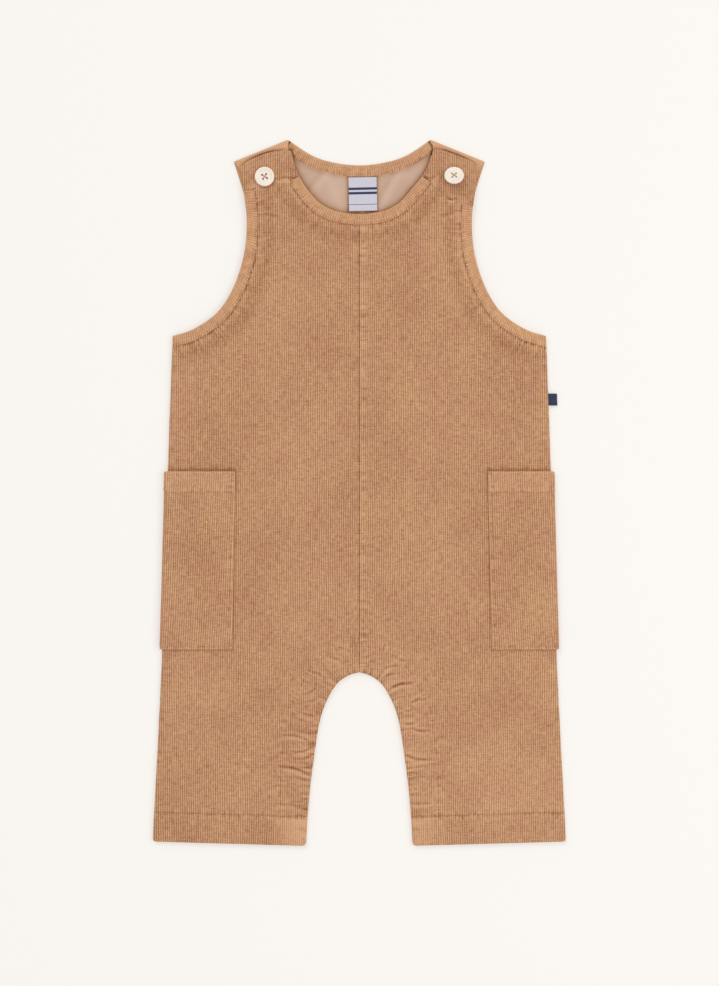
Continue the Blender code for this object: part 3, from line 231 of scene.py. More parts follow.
# ---- marks beside a line: height or shade, how far off the line its middle lies, and half width ----
FACING_RELIEF = (Mark(0.15, 1.4, 0.9), Mark(-0.12, 0.0, 0.7))
HEM_RELIEF = (Mark(-0.35, 0.9, 0.75),)
HEM_SHADE = (Mark(0.3, 1.0, 0.8), Mark(-0.15, -1.6, 1.1))
BAND_SEAM_RELIEF = (Mark(-0.3, 0.0, 0.8),)
BAND_SEAM_SHADE = (Mark(0.3, 0.0, 1.0), Mark(-0.35, 2.6, 1.3), Mark(0.45, 9.0, 5.0))
CENTRE_RELIEF = (Mark(-0.35, 0.0, 0.55),)
CENTRE_SHADE = (Mark(0.55, 0.0, 0.5),)
POCKET_HEM_RELIEF = (Mark(-0.12, 3.0, 0.7), Mark(0.15, 1.2, 0.9))
POCKET_SIDE_RELIEF = (Mark(-0.2, 2.2, 0.6),)
POCKET_LOW_RELIEF = (Mark(-0.2, 1.9, 0.6),)
HEM_LIGHT = {"left": 1.5, "right": 0.7}    # how light the hem is by the inseam
LEG_LIGHT = {"left": 0.0, "right": 0.25}   # and the leg's lower half
# The lining's folds: each is at x at the height y and leans by so much a millimetre.
LINING_FOLDS = (Fold(0.5, 27.0, 0.55, 508.0, 3.4, False), Fold(-0.5, 21.5, 0.55, 508.0, 2.6, False),
                Fold(0.45, -33.0, 0.8, 505.0, 3.6, False), Fold(-0.4, -38.5, 0.8, 505.0, 3.0, False),
                Fold(0.35, -19.0, -0.4, 500.0, 4.0, False), Fold(-0.5, 5.2, 0.0, 500.0, 1.4, True),
                Fold(0.3, 3.0, 0.0, 500.0, 1.4, True), Fold(-0.45, -1.5, 0.0, 500.0, 1.3, True))

# ---- section across a band, from the foot of its seam over its face to its free edge ----
BAND_SECTION = (Across(1.00, 0.30), Across(0.985, 0.62), Across(0.95, 0.84), Across(0.90, 0.95),
                Across(0.84, 0.93), Across(0.80, 0.84), Across(0.76, 0.93), Across(0.68, 1.00),
                Across(0.55, 1.03), Across(0.40, 1.03), Across(0.26, 1.00), Across(0.15, 0.97),
                Across(0.08, 0.88), Across(0.03, 0.70), Across(0.00, 0.40), Across(0.04, 0.04),
                Across(0.50, 0.00), Across(0.96, 0.04))
BAND_STITCH = 0.80            # share of a band's width at which its stitches lie
# Painted highlight on a band's ridge and free edge, and painted shade in its stitch groove.
BAND_LIGHT = (Mark(0.5, 0.7, 0.06), Mark(0.7, 0.04, 0.05))   # by the share of its width
BAND_SHADE = (Mark(0.5, BAND_STITCH, 0.04),)
BAND_THICKNESS = 2.2
BUTTON_PROFILE = (Turned(0.0, 0.0), Turned(0.78, 0.0), Turned(0.90, 0.06), Turned(0.975, 0.24),
                  Turned(1.0, 0.50), Turned(0.985, 0.76), Turned(0.94, 0.93), Turned(0.88, 1.0),
                  Turned(0.80, 0.97), Turned(0.735, 0.86), Turned(0.68, 0.74), Turned(0.60, 0.70),
                  Turned(0.30, 0.68), Turned(0.0, 0.68))


# ================ sizes and colours a user may change ================
def measure(name, description, default, low, high):
    return bpy.props.FloatProperty(name=name, description=description, default=default * MM,
                                   min=low * MM, max=high * MM, unit="LENGTH", precision=5)


class JumpsuitSizes(bpy.types.PropertyGroup):
    """Sizes of the cloth's surface and of its sewing."""
    wale: measure("Wale spacing", "From one wale of the corduroy to the next", 1.69, 0.8, 6.0)
    pile: measure("Pile height", "Height of a wale over the ground between wales", 0.38, 0.05, 1.0)
    pucker: measure("Pucker", "Height of the puckers that the stitching draws up", 0.22, 0.0, 1.0)
    stitch: measure("Stitch length", "Length of one stitch, with its gap", 3.0, 1.5, 8.0)
    thread: measure("Thread thickness", "Diameter of the sewing thread", 0.42, 0.1, 1.5)
    crease: bpy.props.FloatProperty(
        name="Crease gain", description="Gain on the depth of the listed creases",
        default=0.85, min=0.0, max=2.0, subtype="FACTOR")


def colour(name, description, default):
    return bpy.props.StringProperty(name=name, description=description + ", as sRGB hex",
                                    default=default)


class JumpsuitColours(bpy.types.PropertyGroup):
    """Colours of the cloth, trims and floor, as sRGB hex."""
    # A ground colour is partly the bare ground weave's own colour and partly painted shade in the valleys
    # between wales.
    pile_top: colour("Pile", "Top of the corduroy's wales", "#D9A983")
    pile_ground: colour("Ground", "Ground between the wales", "#8E5C39")
    trim_top: colour("Trim pile", "Wales of the bands", "#DBAB83")
    trim_ground: colour("Trim ground", "Ground between those wales", "#A97853")
    lining: colour("Lining", "Poplin lining", "#CBAB96")
    label: colour("Neck label", "Woven neck label", "#CDCBD8")
    stripe: colour("Label stripe", "Woven stripes of the neck label", "#2A3157")
    side_label: colour("Side label", "Twill of the side label", "#262C49")
    button: colour("Button", "Pressed buttons", "#F4E9DC")
    thread: colour("Thread", "Sewing thread", "#CC9E78")
    button_thread: colour("Button thread", "Thread that holds the buttons", "#C9A27C")
    floor: colour("Floor", "Lit table that the garment lies on", "#FAF7F3")


def sizes():
    """The sizes in millimetres, and the crease gain, as the scene's properties hold them."""
    held = bpy.context.scene.jumpsuit_sizes
    found = {name: getattr(held, name) / MM for name in ("wale", "pile", "pucker", "stitch", "thread")}
    return {"crease": held.crease, **found}


# ================ lines in the plane ================
def smooth_line(points, mirror_start=False, mirror_end=False, per_span=6):
    """A smooth line through points; a mirrored end meets the centre line squarely."""
    given = np.array(points, dtype=float)
    before = given[1] * (-1.0, 1.0) if mirror_start else 2.0 * given[0] - given[1]
    after = given[-2] * (-1.0, 1.0) if mirror_end else 2.0 * given[-1] - given[-2]
    knots = np.vstack([before, given, after])
    line = []
    for index in range(1, len(knots) - 2):
        around = knots[index - 1:index + 3]
        gaps = [math.sqrt(np.linalg.norm(q - p)) for p, q in zip(around, around[1:])]
        times = np.cumsum([0.0] + gaps)
        for step in range(per_span):
            line.append(between_knots(around, times, step / per_span))
    line.append(given[-1])
    return np.array(line)


def between_knots(knots, times, share):
    """A point of the curve between the two middle ones of four knots."""
    time = times[1] + share * (times[2] - times[1])

    def mix(start, end, first, last):
        return ((times[last] - time) * start + (time - times[first]) * end) \
            / (times[last] - times[first])

    near = [mix(knots[i], knots[i + 1], i, i + 1) for i in range(3)]
    wide = [mix(near[i], near[i + 1], i, i + 2) for i in range(2)]
    return mix(wide[0], wide[1], 1, 2)


def distances(line):
    """How far along a line each of its points lies."""
    return np.concatenate([[0.0], np.cumsum(np.linalg.norm(np.diff(line, axis=0), axis=1))])


def at(line, distance):
    """The points of a line at distances from its start, in columns x and y."""
    along = distances(line)
    return np.stack([np.interp(distance, along, line[:, axis]) for axis in (0, 1)], axis=-1)


def reach(line, height):
    """The distance at which a rising line is at a height."""
    return float(np.interp(height, line[:, 1], distances(line)))


def stretch(line, start, end):
    """The stretch of a line between two distances."""
    along = distances(line)
    inner = line[(along > start + 1e-6) & (along < end - 1e-6)]
    return np.vstack([at(line, start), inner, at(line, end)])


def beside(line, distance):
    """A line moved sideways, to the right of its direction."""
    tangents = np.gradient(line, axis=0)
    tangents /= np.linalg.norm(tangents, axis=1)[:, None]
    return line + distance * np.stack([tangents[:, 1], -tangents[:, 0]], axis=1)


def near_line(line, x, y):
    """For each point, how far it lies from a line and how far along the line that is."""
    nearest = np.full(np.shape(x), 1e9)
    along = np.zeros(np.shape(x))
    for start, end, run in zip(line, line[1:], distances(line)):
        step = end - start
        length = math.hypot(*step)
        share = np.clip(((x - start[0]) * step[0] + (y - start[1]) * step[1]) / length ** 2, 0.0, 1.0)
        off = np.hypot(x - start[0] - share * step[0], y - start[1] - share * step[1])
        closer = off < nearest
        nearest = np.where(closer, off, nearest)
        along = np.where(closer, run + share * length, along)
    return nearest, along


def ramp(value, start, end):
    """0 at start and 1 at end, straight between."""
    return np.clip((np.asarray(value, float) - start) / (end - start), 0.0, 1.0)


def ease(value, start, end):
    """0 at start and 1 at end, with soft ends."""
    share = ramp(value, start, end)
    return share * share * (3.0 - 2.0 * share)


def width_at(pair, height):
    """The x of a straight edge, given by its two ends, at a height."""
    return np.interp(height, [p.y for p in pair], [p.x for p in pair])


def side_seam():
    return smooth_line(SIDE_SEAM)


def inseam():
    return smooth_line(INSEAM, mirror_end=True)


def armhole_edge(top):
    return smooth_line(ARMHOLE + (top,))


def front_neck_edge(side):
    return smooth_line(FRONT_NECK + FRONT_NECK_TOP[side], mirror_start=True)


def back_neck_edge():
    return smooth_line(BACK_NECK, mirror_start=True)


FOLD_START = np.array(BACK_NECK[-1])
FOLD_END = np.array(ARMHOLE_BACK_TOP)
FOLD_ALONG = (FOLD_END - FOLD_START) / np.linalg.norm(FOLD_END - FOLD_START)
FOLD_UP = np.array([-FOLD_ALONG[1], FOLD_ALONG[0]])


def past_fold(x, y):
    """How far a point of the unfolded back lies past the shoulder fold."""
    return (x - FOLD_START[0]) * FOLD_UP[0] + (y - FOLD_START[1]) * FOLD_UP[1]


def fold_over(x, y, z):
    """Turn what lies past the shoulder fold over and back down, above the back."""
    past = past_fold(x, y) + FOLD_REACH
    turned = (past > 0.0) & (y > FRONT_NECK[0].y)
    angle = np.clip(past / FOLD_RADIUS, 0.0, math.pi)
    radius = FOLD_REACH - z
    shift = radius * np.sin(angle) - np.maximum(0.0, past - math.pi * FOLD_RADIUS) - past
    return (np.where(turned, x + shift * FOLD_UP[0], x), np.where(turned, y + shift * FOLD_UP[1], y),
            np.where(turned, FOLD_REACH - radius * np.cos(angle), z))


# ================ relief of the cloth ================
def hump(value, centre, width):
    return np.exp(-((value - centre) / width) ** 2)


def marks(off, table):
    """The sum of a table's marks at a distance from their line."""
    return sum(mark.height * hump(off, mark.centre, mark.width) for mark in table)


def wale_relief(across, wale):
    """Height of the pile over the ground, 0 to 1."""
    return np.abs(np.sin(np.pi * across / wale)) ** 0.6


def uneven_wave(along, spacing, seed):
    """A wave whose length and height wander, between -1 and 1."""
    turns = along / spacing
    phase = turns + 0.38 * np.sin(1.71 * turns + seed) + 0.21 * np.sin(2.9 * turns + 2.3 * seed)
    height = 0.62 + 0.38 * np.sin(0.83 * turns + 1.7 * seed) * np.sin(0.37 * turns + 0.6 * seed)
    return np.sin(2.0 * np.pi * phase) * height


def puckers(off, along, table, shift=0.0):
    """What a row of stitches draws up beside itself: the sum of a table's waves."""
    total = 0.0
    for row in table:
        seed = row.seed + shift
        width = row.reach * (0.75 + 0.45 * np.sin(1.3 * along / row.spacing + 3.1 * seed))
        wave = uneven_wave(along, row.spacing, seed) * hump(off, 0.0, np.maximum(width, 0.5))
        total = total + row.gain * wave
    return total


def crease_relief(x, y, creases):
    """Troughs, each with a soft ridge along its lower side."""
    total = np.zeros(np.shape(x))
    for crease in creases:
        run_x, run_y = crease.x2 - crease.x1, crease.y2 - crease.y1
        length = math.hypot(run_x, run_y)
        share = ((x - crease.x1) * run_x + (y - crease.y1) * run_y) / length ** 2
        off = ((y - crease.y1) * run_x - (x - crease.x1) * run_y) / length
        bow = 0.08 * length * np.sin(np.pi * np.clip(share, 0.0, 1.0)) * (1 if run_y > 0.0 else -1)
        off = (off - bow) / crease.width
        ridge = hump(off, -1.4, 1.0) + 0.5 * hump(off, 1.4, 1.0)
        fade = ease(share, -0.15, 0.25) * ease(share, 1.2, 0.65)
        total += crease.height * fade * (0.75 * ridge - hump(off, 0.0, 0.6))
    return total


def slow_waves(x, y, seed):
    """The garment doesn't lie dead flat: broad low swells, between -1 and 1."""
    return (np.sin(x / 19.0 + y / 47.0 + seed) * np.sin(y / 33.0 - x / 71.0 + 1.3 * seed)
            + 0.5 * np.sin(x / 9.5 - y / 21.0 + 2.0 * seed) * np.sin(y / 14.0 + 0.7 * seed)) / 1.5


def wale_drift(x, y):
    """How far the wales stray from straight, none at the centre seam."""
    drift = 0.55 * slow_waves(x, y, 3.3) + 0.22 * np.sin(y / 17.0 + x / 23.0)
    return drift * ramp(x, 0.0, 7.0)


def beside_pocket(y):
    """1 level with a pocket, and down to 0 over its ramp past its ends."""
    low, high = POCKET_LOW - POCKET_MARGIN, POCKET_HIGH + POCKET_MARGIN
    return ramp(y, low - POCKET_RAMP, low) * ramp(y, high + POCKET_RAMP, high)


def over_pocket(x, y, side):
    edge = width_at(POCKET_INNER[side], y) - 0.6
    return ramp(x, edge - POCKET_RAMP, edge) * beside_pocket(y)


def over_tab(x, y):
    return ramp(-past_fold(x, y), TAB_LENGTH + 14.0, TAB_LENGTH + 2.0)


def hem_line(x):
    return HEM_SLOPE * ramp(x, INSEAM[0].x, SIDE_SEAM[0].x)


def in_hem(x, y):
    return 1.0 - ramp(y - hem_line(x), HEM_DEPTH - 1.2, HEM_DEPTH)


def seam_height(x, y):
    """The height at which front and back meet, higher where a pocket wraps the side seam."""
    raised = beside_pocket(y) * ramp(x, 60.0, 100.0)
    return SEAM_HEIGHT + (POCKET_SEAM_HEIGHT - SEAM_HEIGHT) * raised


def roll(off, width):
    """How far a face has come up from its seam, as a quarter circle."""
    share = 1.0 - np.clip(off / width, 0.0, 1.0)
    return np.sqrt(np.maximum(0.0, 1.0 - share ** 2))


def front_level(x, y, side):
    """The front's face before its fine relief."""
    lift = np.maximum(over_pocket(x, y, side), over_tab(x, y))
    return FRONT_FACE + FRONT_LIFT * lift + HEM_RISE * in_hem(x, y)


def pocket_shadow(x, y, side):
    """How deep a point of the front lies in the crevice round a pocket's edge, 0 to 1."""
    aside = np.maximum(width_at(POCKET_INNER[side], y) - x, 0.0)
    above = np.maximum(y - POCKET_HIGH, 0.0)
    below = np.maximum(POCKET_LOW - y, 0.0)
    off = np.sqrt(aside ** 2 + above ** 2 + below ** 2)
    near_mouth = above > 0.0
    return np.where(near_mouth, 1.0, 0.35) * hump(off, 0.0, 1.5) + 0.22 * near_mouth * np.exp(-off / 4.5)


def front_fine(x, y, side, held):
    """The front's seams, puckers and creases, in millimetres, and how dark it is: painted shade in its
    crevices and by its seams, with slow swells of tone.
    """
    pucker = held["pucker"]
    seed = SEEDS[side]
    facing = np.array(FACING)
    limit = np.interp(y, facing[:, 1], facing[:, 0], right=-1.0)
    doubled = ramp(x, limit, limit - 2.0) * ramp(y, HEM_DEPTH, HEM_DEPTH + 4.0)
    # dark holds painted shade round the pockets and along the seams, and slow swells of tone.
    dark = 2.2 * pocket_shadow(x, y, side) + 0.6 * doubled - 0.2 * slow_waves(x, y, seed + 1.7)
    off, along = near_line(facing, x, y)
    total = DOUBLED * doubled + pucker * puckers(off, along, FACING_PUCKERS, seed)
    total += marks(off, FACING_RELIEF)
    above_crotch = ramp(y, 133.0, 138.0)
    off, along = near_line(inseam(), x, y)
    total += (1.0 - 0.55 * above_crotch) * pucker * puckers(off, along, INSEAM_PUCKERS, seed)
    off, along = near_line(side_seam(), x, y)
    total += pucker * puckers(off, along, SIDE_PUCKERS, seed)
    hem = y - hem_line(x) - HEM_DEPTH - 0.5 * uneven_wave(x, 31.0, seed)
    total += pucker * puckers(np.abs(hem), x, HEM_PUCKERS, seed) + marks(hem, HEM_RELIEF)
    dark += marks(hem, HEM_SHADE) - in_hem(x, y) * (HEM_LIGHT[side] * ease(x, 72.0, 46.0) - 0.2)
    dark -= LEG_LIGHT[side] * ease(y, 110.0, 20.0)
    for lines, table in ((front_neck_lines(side), NECK_PUCKERS), (front_arm_lines(side), ARM_PUCKERS)):
        off, along = near_line(lines[1], x, y)
        total += pucker * puckers(off, along, table, seed) + marks(off, BAND_SEAM_RELIEF)
        dark += marks(off, BAND_SEAM_SHADE)
    total += above_crotch * marks(x, CENTRE_RELIEF)
    dark += above_crotch * marks(x, CENTRE_SHADE)
    if side == "right":
        ridge = hump(x, 1.2, 0.9)
        allowance = ease(x, 7.0, 4.6)
        drawn = puckers(np.abs(x - 3.0), y, CENTRE_PUCKERS[side])
        total += above_crotch * (0.2 * allowance + 0.25 * ridge + pucker * 2.0 * drawn)
        dark += above_crotch * (0.1 * ridge + 0.25 * allowance - 0.2 * drawn)
    else:
        total += above_crotch * pucker * puckers(x, y, CENTRE_PUCKERS[side])
    return total + held["crease"] * crease_relief(x, y, CREASES[side]), dark


# ================ grids of cloth ================
def row_heights(spans):
    """The heights of a grid's rows, from 0 up."""
    lows = [0.0] + [span.high for span in spans]
    rows = [np.linspace(low, span.high, math.ceil((span.high - low) / span.step), endpoint=False)
            for low, span in zip(lows, spans)]
    return np.concatenate(rows + [[spans[-1].high]])


def mesh_of(bm, name):
    mesh = bpy.data.meshes.new(name)
    bm.to_mesh(mesh)
    bm.free()
    return mesh


def flat_grid(columns, rows):
    """A grid mesh with, for each vertex, the number of its column and of its row."""
    bm = bmesh.new()
    bmesh.ops.create_grid(bm, x_segments=columns, y_segments=rows, size=0.5)
    mesh = mesh_of(bm, "cloth")
    places = np.empty(len(mesh.vertices) * 3, np.float32)
    mesh.vertices.foreach_get("co", places)
    places = places.reshape(-1, 3) + 0.5
    return mesh, np.rint(places[:, 0] * columns).astype(int), np.rint(places[:, 1] * rows).astype(int)


def settle(mesh, x, y, z, across, along, wear_and_painted_shade):
    """Put a grid's vertices in place and note, for the cloth's material, where each lies in the weave,
    and its wear and painted shade and highlight.
    """
    places = np.stack([x, y - LENGTH / 2.0, z], axis=1) * MM
    mesh.vertices.foreach_set("co", places.astype(np.float32).ravel())
    weave = mesh.attributes.new("weave", "FLOAT_VECTOR", "POINT")
    weave.data.foreach_set("vector", np.stack([across, along, wear_and_painted_shade], axis=1).astype(np.float32).ravel())


def outward_of(edges):
    """For each vertex of some boundary edges, the direction out of the cloth."""
    outward = {}
    for edge in edges:
        face = edge.link_faces[0]
        start, end = (vert.co for vert in edge.verts)
        out = (end - start).normalized().cross(face.normal)
        if out.dot((start + end) / 2.0 - face.calc_center_median()) < 0.0:
            out = -out
        for vert in edge.verts:
            outward[vert] = outward.get(vert, Vector()) + out
    return outward


def flat_normal(vert, rolled):
    """The cloth's normal by an edge, taken over a whole wale from clear of the edge's roll."""
    seen = ring = {vert}
    inside = []
    rings_left = COLUMNS_PER_WALE
    while ring and rings_left:
        ring = {edge.other_vert(near) for near in ring for edge in near.link_edges} - seen
        seen = seen | ring
        inside += ring - rolled
        rings_left -= bool(inside)
    return sum((near.normal for near in inside), Vector()).normalized()


def turn_edge_under(bm, is_free, wall, lip):
    """Give the cloth its thickness along its free edges, with a lip turned in beneath."""
    bm.normal_update()
    edges = [edge for edge in bm.edges if edge.is_boundary and is_free(edge)]
    rolled = {vert for edge in edges for vert in edge.verts}
    for _ in range(2):
        rolled |= {edge.other_vert(vert) for vert in rolled for edge in vert.link_edges}
    moves = {}
    for vert, out in outward_of(edges).items():
        up = flat_normal(vert, rolled)
        way = (out - out.dot(up) * up).normalized()
        moves[vert] = vert.co.copy(), up * wall * MM, way * MM, way * -lip(vert.co, up) * MM
    twins = {vert: vert for vert in moves}
    for ring in EDGE_RINGS:
        made = bmesh.ops.extrude_edge_only(bm, edges=edges)["geom"]
        verts = [item for item in made if isinstance(item, bmesh.types.BMVert)]
        edges = [item for item in made if isinstance(item, bmesh.types.BMEdge)
                 and item.is_boundary and all(vert in verts for vert in item.verts)]
        origins = {tuple(twin.co): vert for vert, twin in twins.items()}
        for vert in verts:
            first = origins[tuple(vert.co)]
            place, thick, way, lip_way = moves[first]
            vert.co = place - thick * ring.down + way * ring.out + lip_way * ring.under
            twins[first] = vert


def wide_lip(place, up):
    return WIDEST_LIP


def strap_lip(place, up):
    """A lip that stays clear of the shoulder fold."""
    below = -past_fold(abs(place.x) / MM, place.y / MM + LENGTH / 2.0)
    return 0.3 if abs(up.z) < 0.93 else min(WIDEST_LIP, max(0.3, 0.5 * below))


def finish_cloth(name, mesh, material, free=None, wall=1.0, inside=-1.0, mirror=False, lip=wide_lip):
    """Merge what the outline has brought together, turn the faces away from a height and link."""
    if mirror:
        mesh.transform(Matrix.Scale(-1.0, 4, (1.0, 0.0, 0.0)))
    bm = bmesh.new()
    bm.from_mesh(mesh)
    bmesh.ops.remove_doubles(bm, verts=bm.verts, dist=MERGE)
    flat = [face for face in bm.faces if face.calc_area() < NO_AREA]
    bmesh.ops.delete(bm, geom=flat, context="FACES")
    bm.normal_update()
    if sum(face.normal.z * face.calc_area() * (face.calc_center_median().z - inside * MM)
           for face in bm.faces) < 0.0:
        bmesh.ops.reverse_faces(bm, faces=bm.faces)
    if free is not None:
        turn_edge_under(bm, free, wall, lip)
    bpy.data.meshes.remove(mesh)
    return link_piece(name, mesh_of(bm, name), material)


def link(name, data):
    thing = bpy.data.objects.new(name, data)
    bpy.context.scene.collection.objects.link(thing)
    return thing


def link_piece(name, mesh, material):
    mesh.materials.append(material)
    mesh.shade_smooth()
    return link(name, mesh)


def declare(piece, nodes):
    """Hang a piece on the root and hide the solids that it stands for."""
    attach(piece, "root")
    if nodes:
        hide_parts(*nodes)
    return piece


# ================ panels ================
def panel_outline(side, front):
    """The closed outline of one panel, unfolded, and those stretches of it that are turned edges."""
    arm = armhole_edge(ARMHOLE_FRONT_TOP if front else ARMHOLE_BACK_TOP)
    neck = front_neck_edge(side) if front else back_neck_edge()
    if front:
        arm_end = reach(arm, FRONT_ARM_BAND_TOP[side])
        neck_end = reach(neck, FRONT_NECK_BAND_TOP)
    else:
        arm_end = distances(arm)[-1] - BACK_BANDS_STOP
        neck_end = distances(neck)[-1] - BACK_BANDS_STOP
    arm_hidden = beside(arm, -UNDER_BAND)
    arm_hidden[0] = (SIDE_SEAM[-1].x, SIDE_SEAM[-1].y - UNDER_BAND)
    neck_hidden = beside(neck, UNDER_BAND)
    neck_hidden[0][0] = 0.0
    arm_free = stretch(arm, arm_end, distances(arm)[-1])
    neck_free = stretch(neck, neck_end, distances(neck)[-1])
    arm_part = [stretch(arm_hidden, 0.0, arm_end), arm_free]
    neck_part = [stretch(neck_hidden, 0.0, neck_end), neck_free]
    free = [arm_free, neck_free, np.array([INSEAM[0], SIDE_SEAM[0]])]
    if front:
        free.append(strap_end_line(side, 16))
    else:
        shift = TAB_SHIFT[side]
        arm_tab = [FOLD_END - row.arm_side * FOLD_ALONG + row.past_fold * FOLD_UP for row in TAB]
        neck_tab = [FOLD_START + (row.neck_side + shift) * FOLD_ALONG + row.past_fold * FOLD_UP
                    for row in TAB]
        arm_part.append(np.array(arm_tab))
        neck_part.append(np.array(neck_tab))
        free += [np.vstack([arm_free[-1:], arm_tab]), np.vstack([neck_free[-1:], neck_tab]),
                 np.array([arm_tab[-1], neck_tab[-1]])]
    return np.vstack([inseam()[::-1], side_seam(), *arm_part, np.vstack(neck_part)[::-1]]), free


def strap_end(x, side):
    """The height of a front strap's end at x."""
    start, end = FRONT_NECK_TOP[side][-1], ARMHOLE_FRONT_TOP
    share = (x - start.x) / (end.x - start.x)
    bend = STRAP_BEND[side]
    return start.y + (end.y - start.y) * ((1.0 - bend) * share + bend * np.clip(share, 0.0, 1.0) ** 2)


def strap_end_line(side, count):
    x = np.linspace(ARMHOLE_FRONT_TOP.x, FRONT_NECK_TOP[side][-1].x, count)
    return np.stack([x, strap_end(x, side)], axis=1)


def strap_middle(side):
    return (FRONT_NECK_TOP[side][-1].x + ARMHOLE_FRONT_TOP.x) / 2.0


def strap_slant(front, side):
    """How far off level a strap's last row lies at x, from its height at the strap's middle."""
    if not front:
        middle = (FOLD_START[0] + FOLD_END[0]) / 2.0
        return lambda x: FOLD_ALONG[1] / FOLD_ALONG[0] * (x - middle)
    return lambda x: strap_end(x, side) - strap_end(strap_middle(side), side)


def row_shift(x, rise, slant):
    """How far a row lies off level at x: along the hem, and along the strap's end."""
    hem = hem_line(x) * (1.0 - ease(rise, HEM_DEPTH + 3.0, 75.0))
    return hem + slant(np.maximum(x, 42.0)) * ease(rise, STRAP_FROM, STRAP_TO)


def row_ends(outline, rows, slant):
    """Where each row starts and ends on the outline."""
    x, y = outline.T
    rise = y.copy()
    for _ in range(60):
        rise += 0.5 * (y - row_shift(x, rise, slant) - rise)
    x_next, rise_next = np.roll(x, -1), np.roll(rise, -1)
    ends = []
    for row in np.clip(rows, rise.min() + 0.002, rise.max() - 0.002):
        crossed = (rise < row) != (rise_next < row)
        span = rise_next[crossed] - rise[crossed]
        cuts = x[crossed] + (row - rise[crossed]) / span * (x_next[crossed] - x[crossed])
        ends.append((cuts.min(), cuts.max()))
    return np.array(ends)


def round_ends(ends, rows, level, radius):
    """Round the corners of the rows that lie within a radius of a level."""
    off = np.minimum(np.abs(rows - level), radius)
    drawn = radius - np.sqrt(radius ** 2 - (radius - off) ** 2)
    ends += np.stack([drawn, -drawn], axis=1)


def front_face(x, y, side, off_seam, pile, drop, held):
    """A front's points, raised from its seams, and at each its wear and painted shade: highlight on
    ridges, shade in troughs and crevices.
    """
    fine, dark = front_fine(x, y, side, held)
    for edge, top in ((armhole_edge(ARMHOLE_FRONT_TOP), FRONT_ARM_BAND_TOP[side]),
                      (front_neck_edge(side), FRONT_NECK_BAND_TOP)):
        under_band = (near_line(edge, x, y)[0] < BAND_WIDTH - 0.6) & (y < top)
        fine = np.where(under_band, -0.5, fine)
    level = front_level(x, y, side) + fine + 0.18 * slow_waves(x, y, SEEDS[side])
    seam = seam_height(x, y)
    off, along = near_line(strap_end_line(side, 16), x, y)
    gape = STRAP_GAPE * hump(off, 0.0, 5.0) * np.sin(np.pi * np.clip(along / STRAP_WIDTH, 0.0, 1.0))
    z = seam + (level - seam) * roll(off_seam, SEAM_ROLL) + gape + pile - drop
    # Painted highlight on the relief's ridges, and painted shade in its troughs, crevices and seams.
    return x, y, z, np.clip(fine * 2.0 - dark, -3.0, 1.5)


def back_face(x, y, side, off_seam, pile, drop, held):
    """A back's points, its strap folded over, and at each its wear and painted shade."""
    fine = held["pucker"] * puckers(off_seam, y, BACK_PUCKERS)
    level = BACK_LIFT * over_pocket(x, y, side) + np.abs(fine)
    past = past_fold(x, y)
    seam = seam_height(x, y)
    pile = pile * (1.0 - 0.8 * ramp(np.abs(past - 2.5), 7.0, 4.5))
    z = seam - (seam - level) * roll(off_seam, SEAM_ROLL) - pile + drop
    x, y, z = fold_over(x, y, z)
    off, along = near_line(strap_end_line(side, 12), x, y)
    gape = hump(off, 0.4, 1.5) * np.sin(np.pi * np.clip(along / 40.0, 0.06, 1.0)) ** 0.7
    gape = np.where(z > FOLD_REACH, gape, 0.0)
    z -= 0.7 * gape
    crown = 1.7 * ramp(z, 0.5, 2.0) * ramp(past, 9.0, 7.0)
    # Lighter on the turned strap's crown; painted shadow beneath the front strap's end (the gape); darker
    # on the puckers.
    return x, y, z, np.clip(crown - fine * 1.5 - 4.0 * gape, -3.0, 1.7)


def build_panel(side, front, material, held):
    """One front or back panel, its columns along the wales and its rows along hem and strap."""
    outline, free = panel_outline(side, front)
    slant = strap_slant(front, side)
    rows = row_heights(FRONT_ROWS if front else BACK_ROWS)
    if front:
        top = float(strap_end(strap_middle(side), side))
        rows = np.append(rows[rows < top - 3.0], top - STRAP_END_ROWS)
    ends = row_ends(outline, rows, slant)
    round_ends(ends, rows, 0.0, HEM_CORNER)
    if front:
        round_ends(ends, rows, rows[-1], STRAP_CORNER)
    step = held["wale"] / COLUMNS_PER_WALE
    columns = math.ceil(outline[:, 0].max() / step) + 1
    mesh, column, row = flat_grid(columns, len(rows) - 1)
    rise = rows[row]
    x = np.clip(column * step + wale_drift(column * step, rise), ends[row, 0], ends[row, 1])
    y = rise + row_shift(x, rise, slant)
    across = x - wale_drift(x, rise)
    pile = held["pile"] * (wale_relief(across, held["wale"]) - 1.0)
    off_seam = np.minimum(near_line(side_seam(), x, y)[0], near_line(inseam(), x, y)[0])
    off_free = np.min([near_line(line, x, y)[0] for line in free], axis=0)
    drop = FREE_DROP * (1.0 - roll(off_free, FREE_ROLL))
    face = front_face if front else back_face
    x, y, z, wear_and_painted_shade = face(x, y, side, off_seam, pile, drop, held)
    settle(mesh, x, y, z, across, rise, wear_and_painted_shade)
    mirrored = side == "left"
    lines = free if front else [fold_points(line) for line in free]

    def is_free(edge):
        middle = (edge.verts[0].co + edge.verts[1].co) / (2.0 * MM)
        point = np.array([-middle.x if mirrored else middle.x]), np.array([middle.y + LENGTH / 2.0])
        within = CORNER_CUT if front and point[1][0] > STRAP_TO else ON_LINE
        return min(near_line(line, *point)[0][0] for line in lines) < within

    wall = WALL + 0.2 if front else WALL - 0.2
    return finish_cloth(("front_" if front else "back_") + side + "_cloth", mesh, material, is_free,
                        wall, -1.0 if front else 20.0, mirrored, strap_lip)


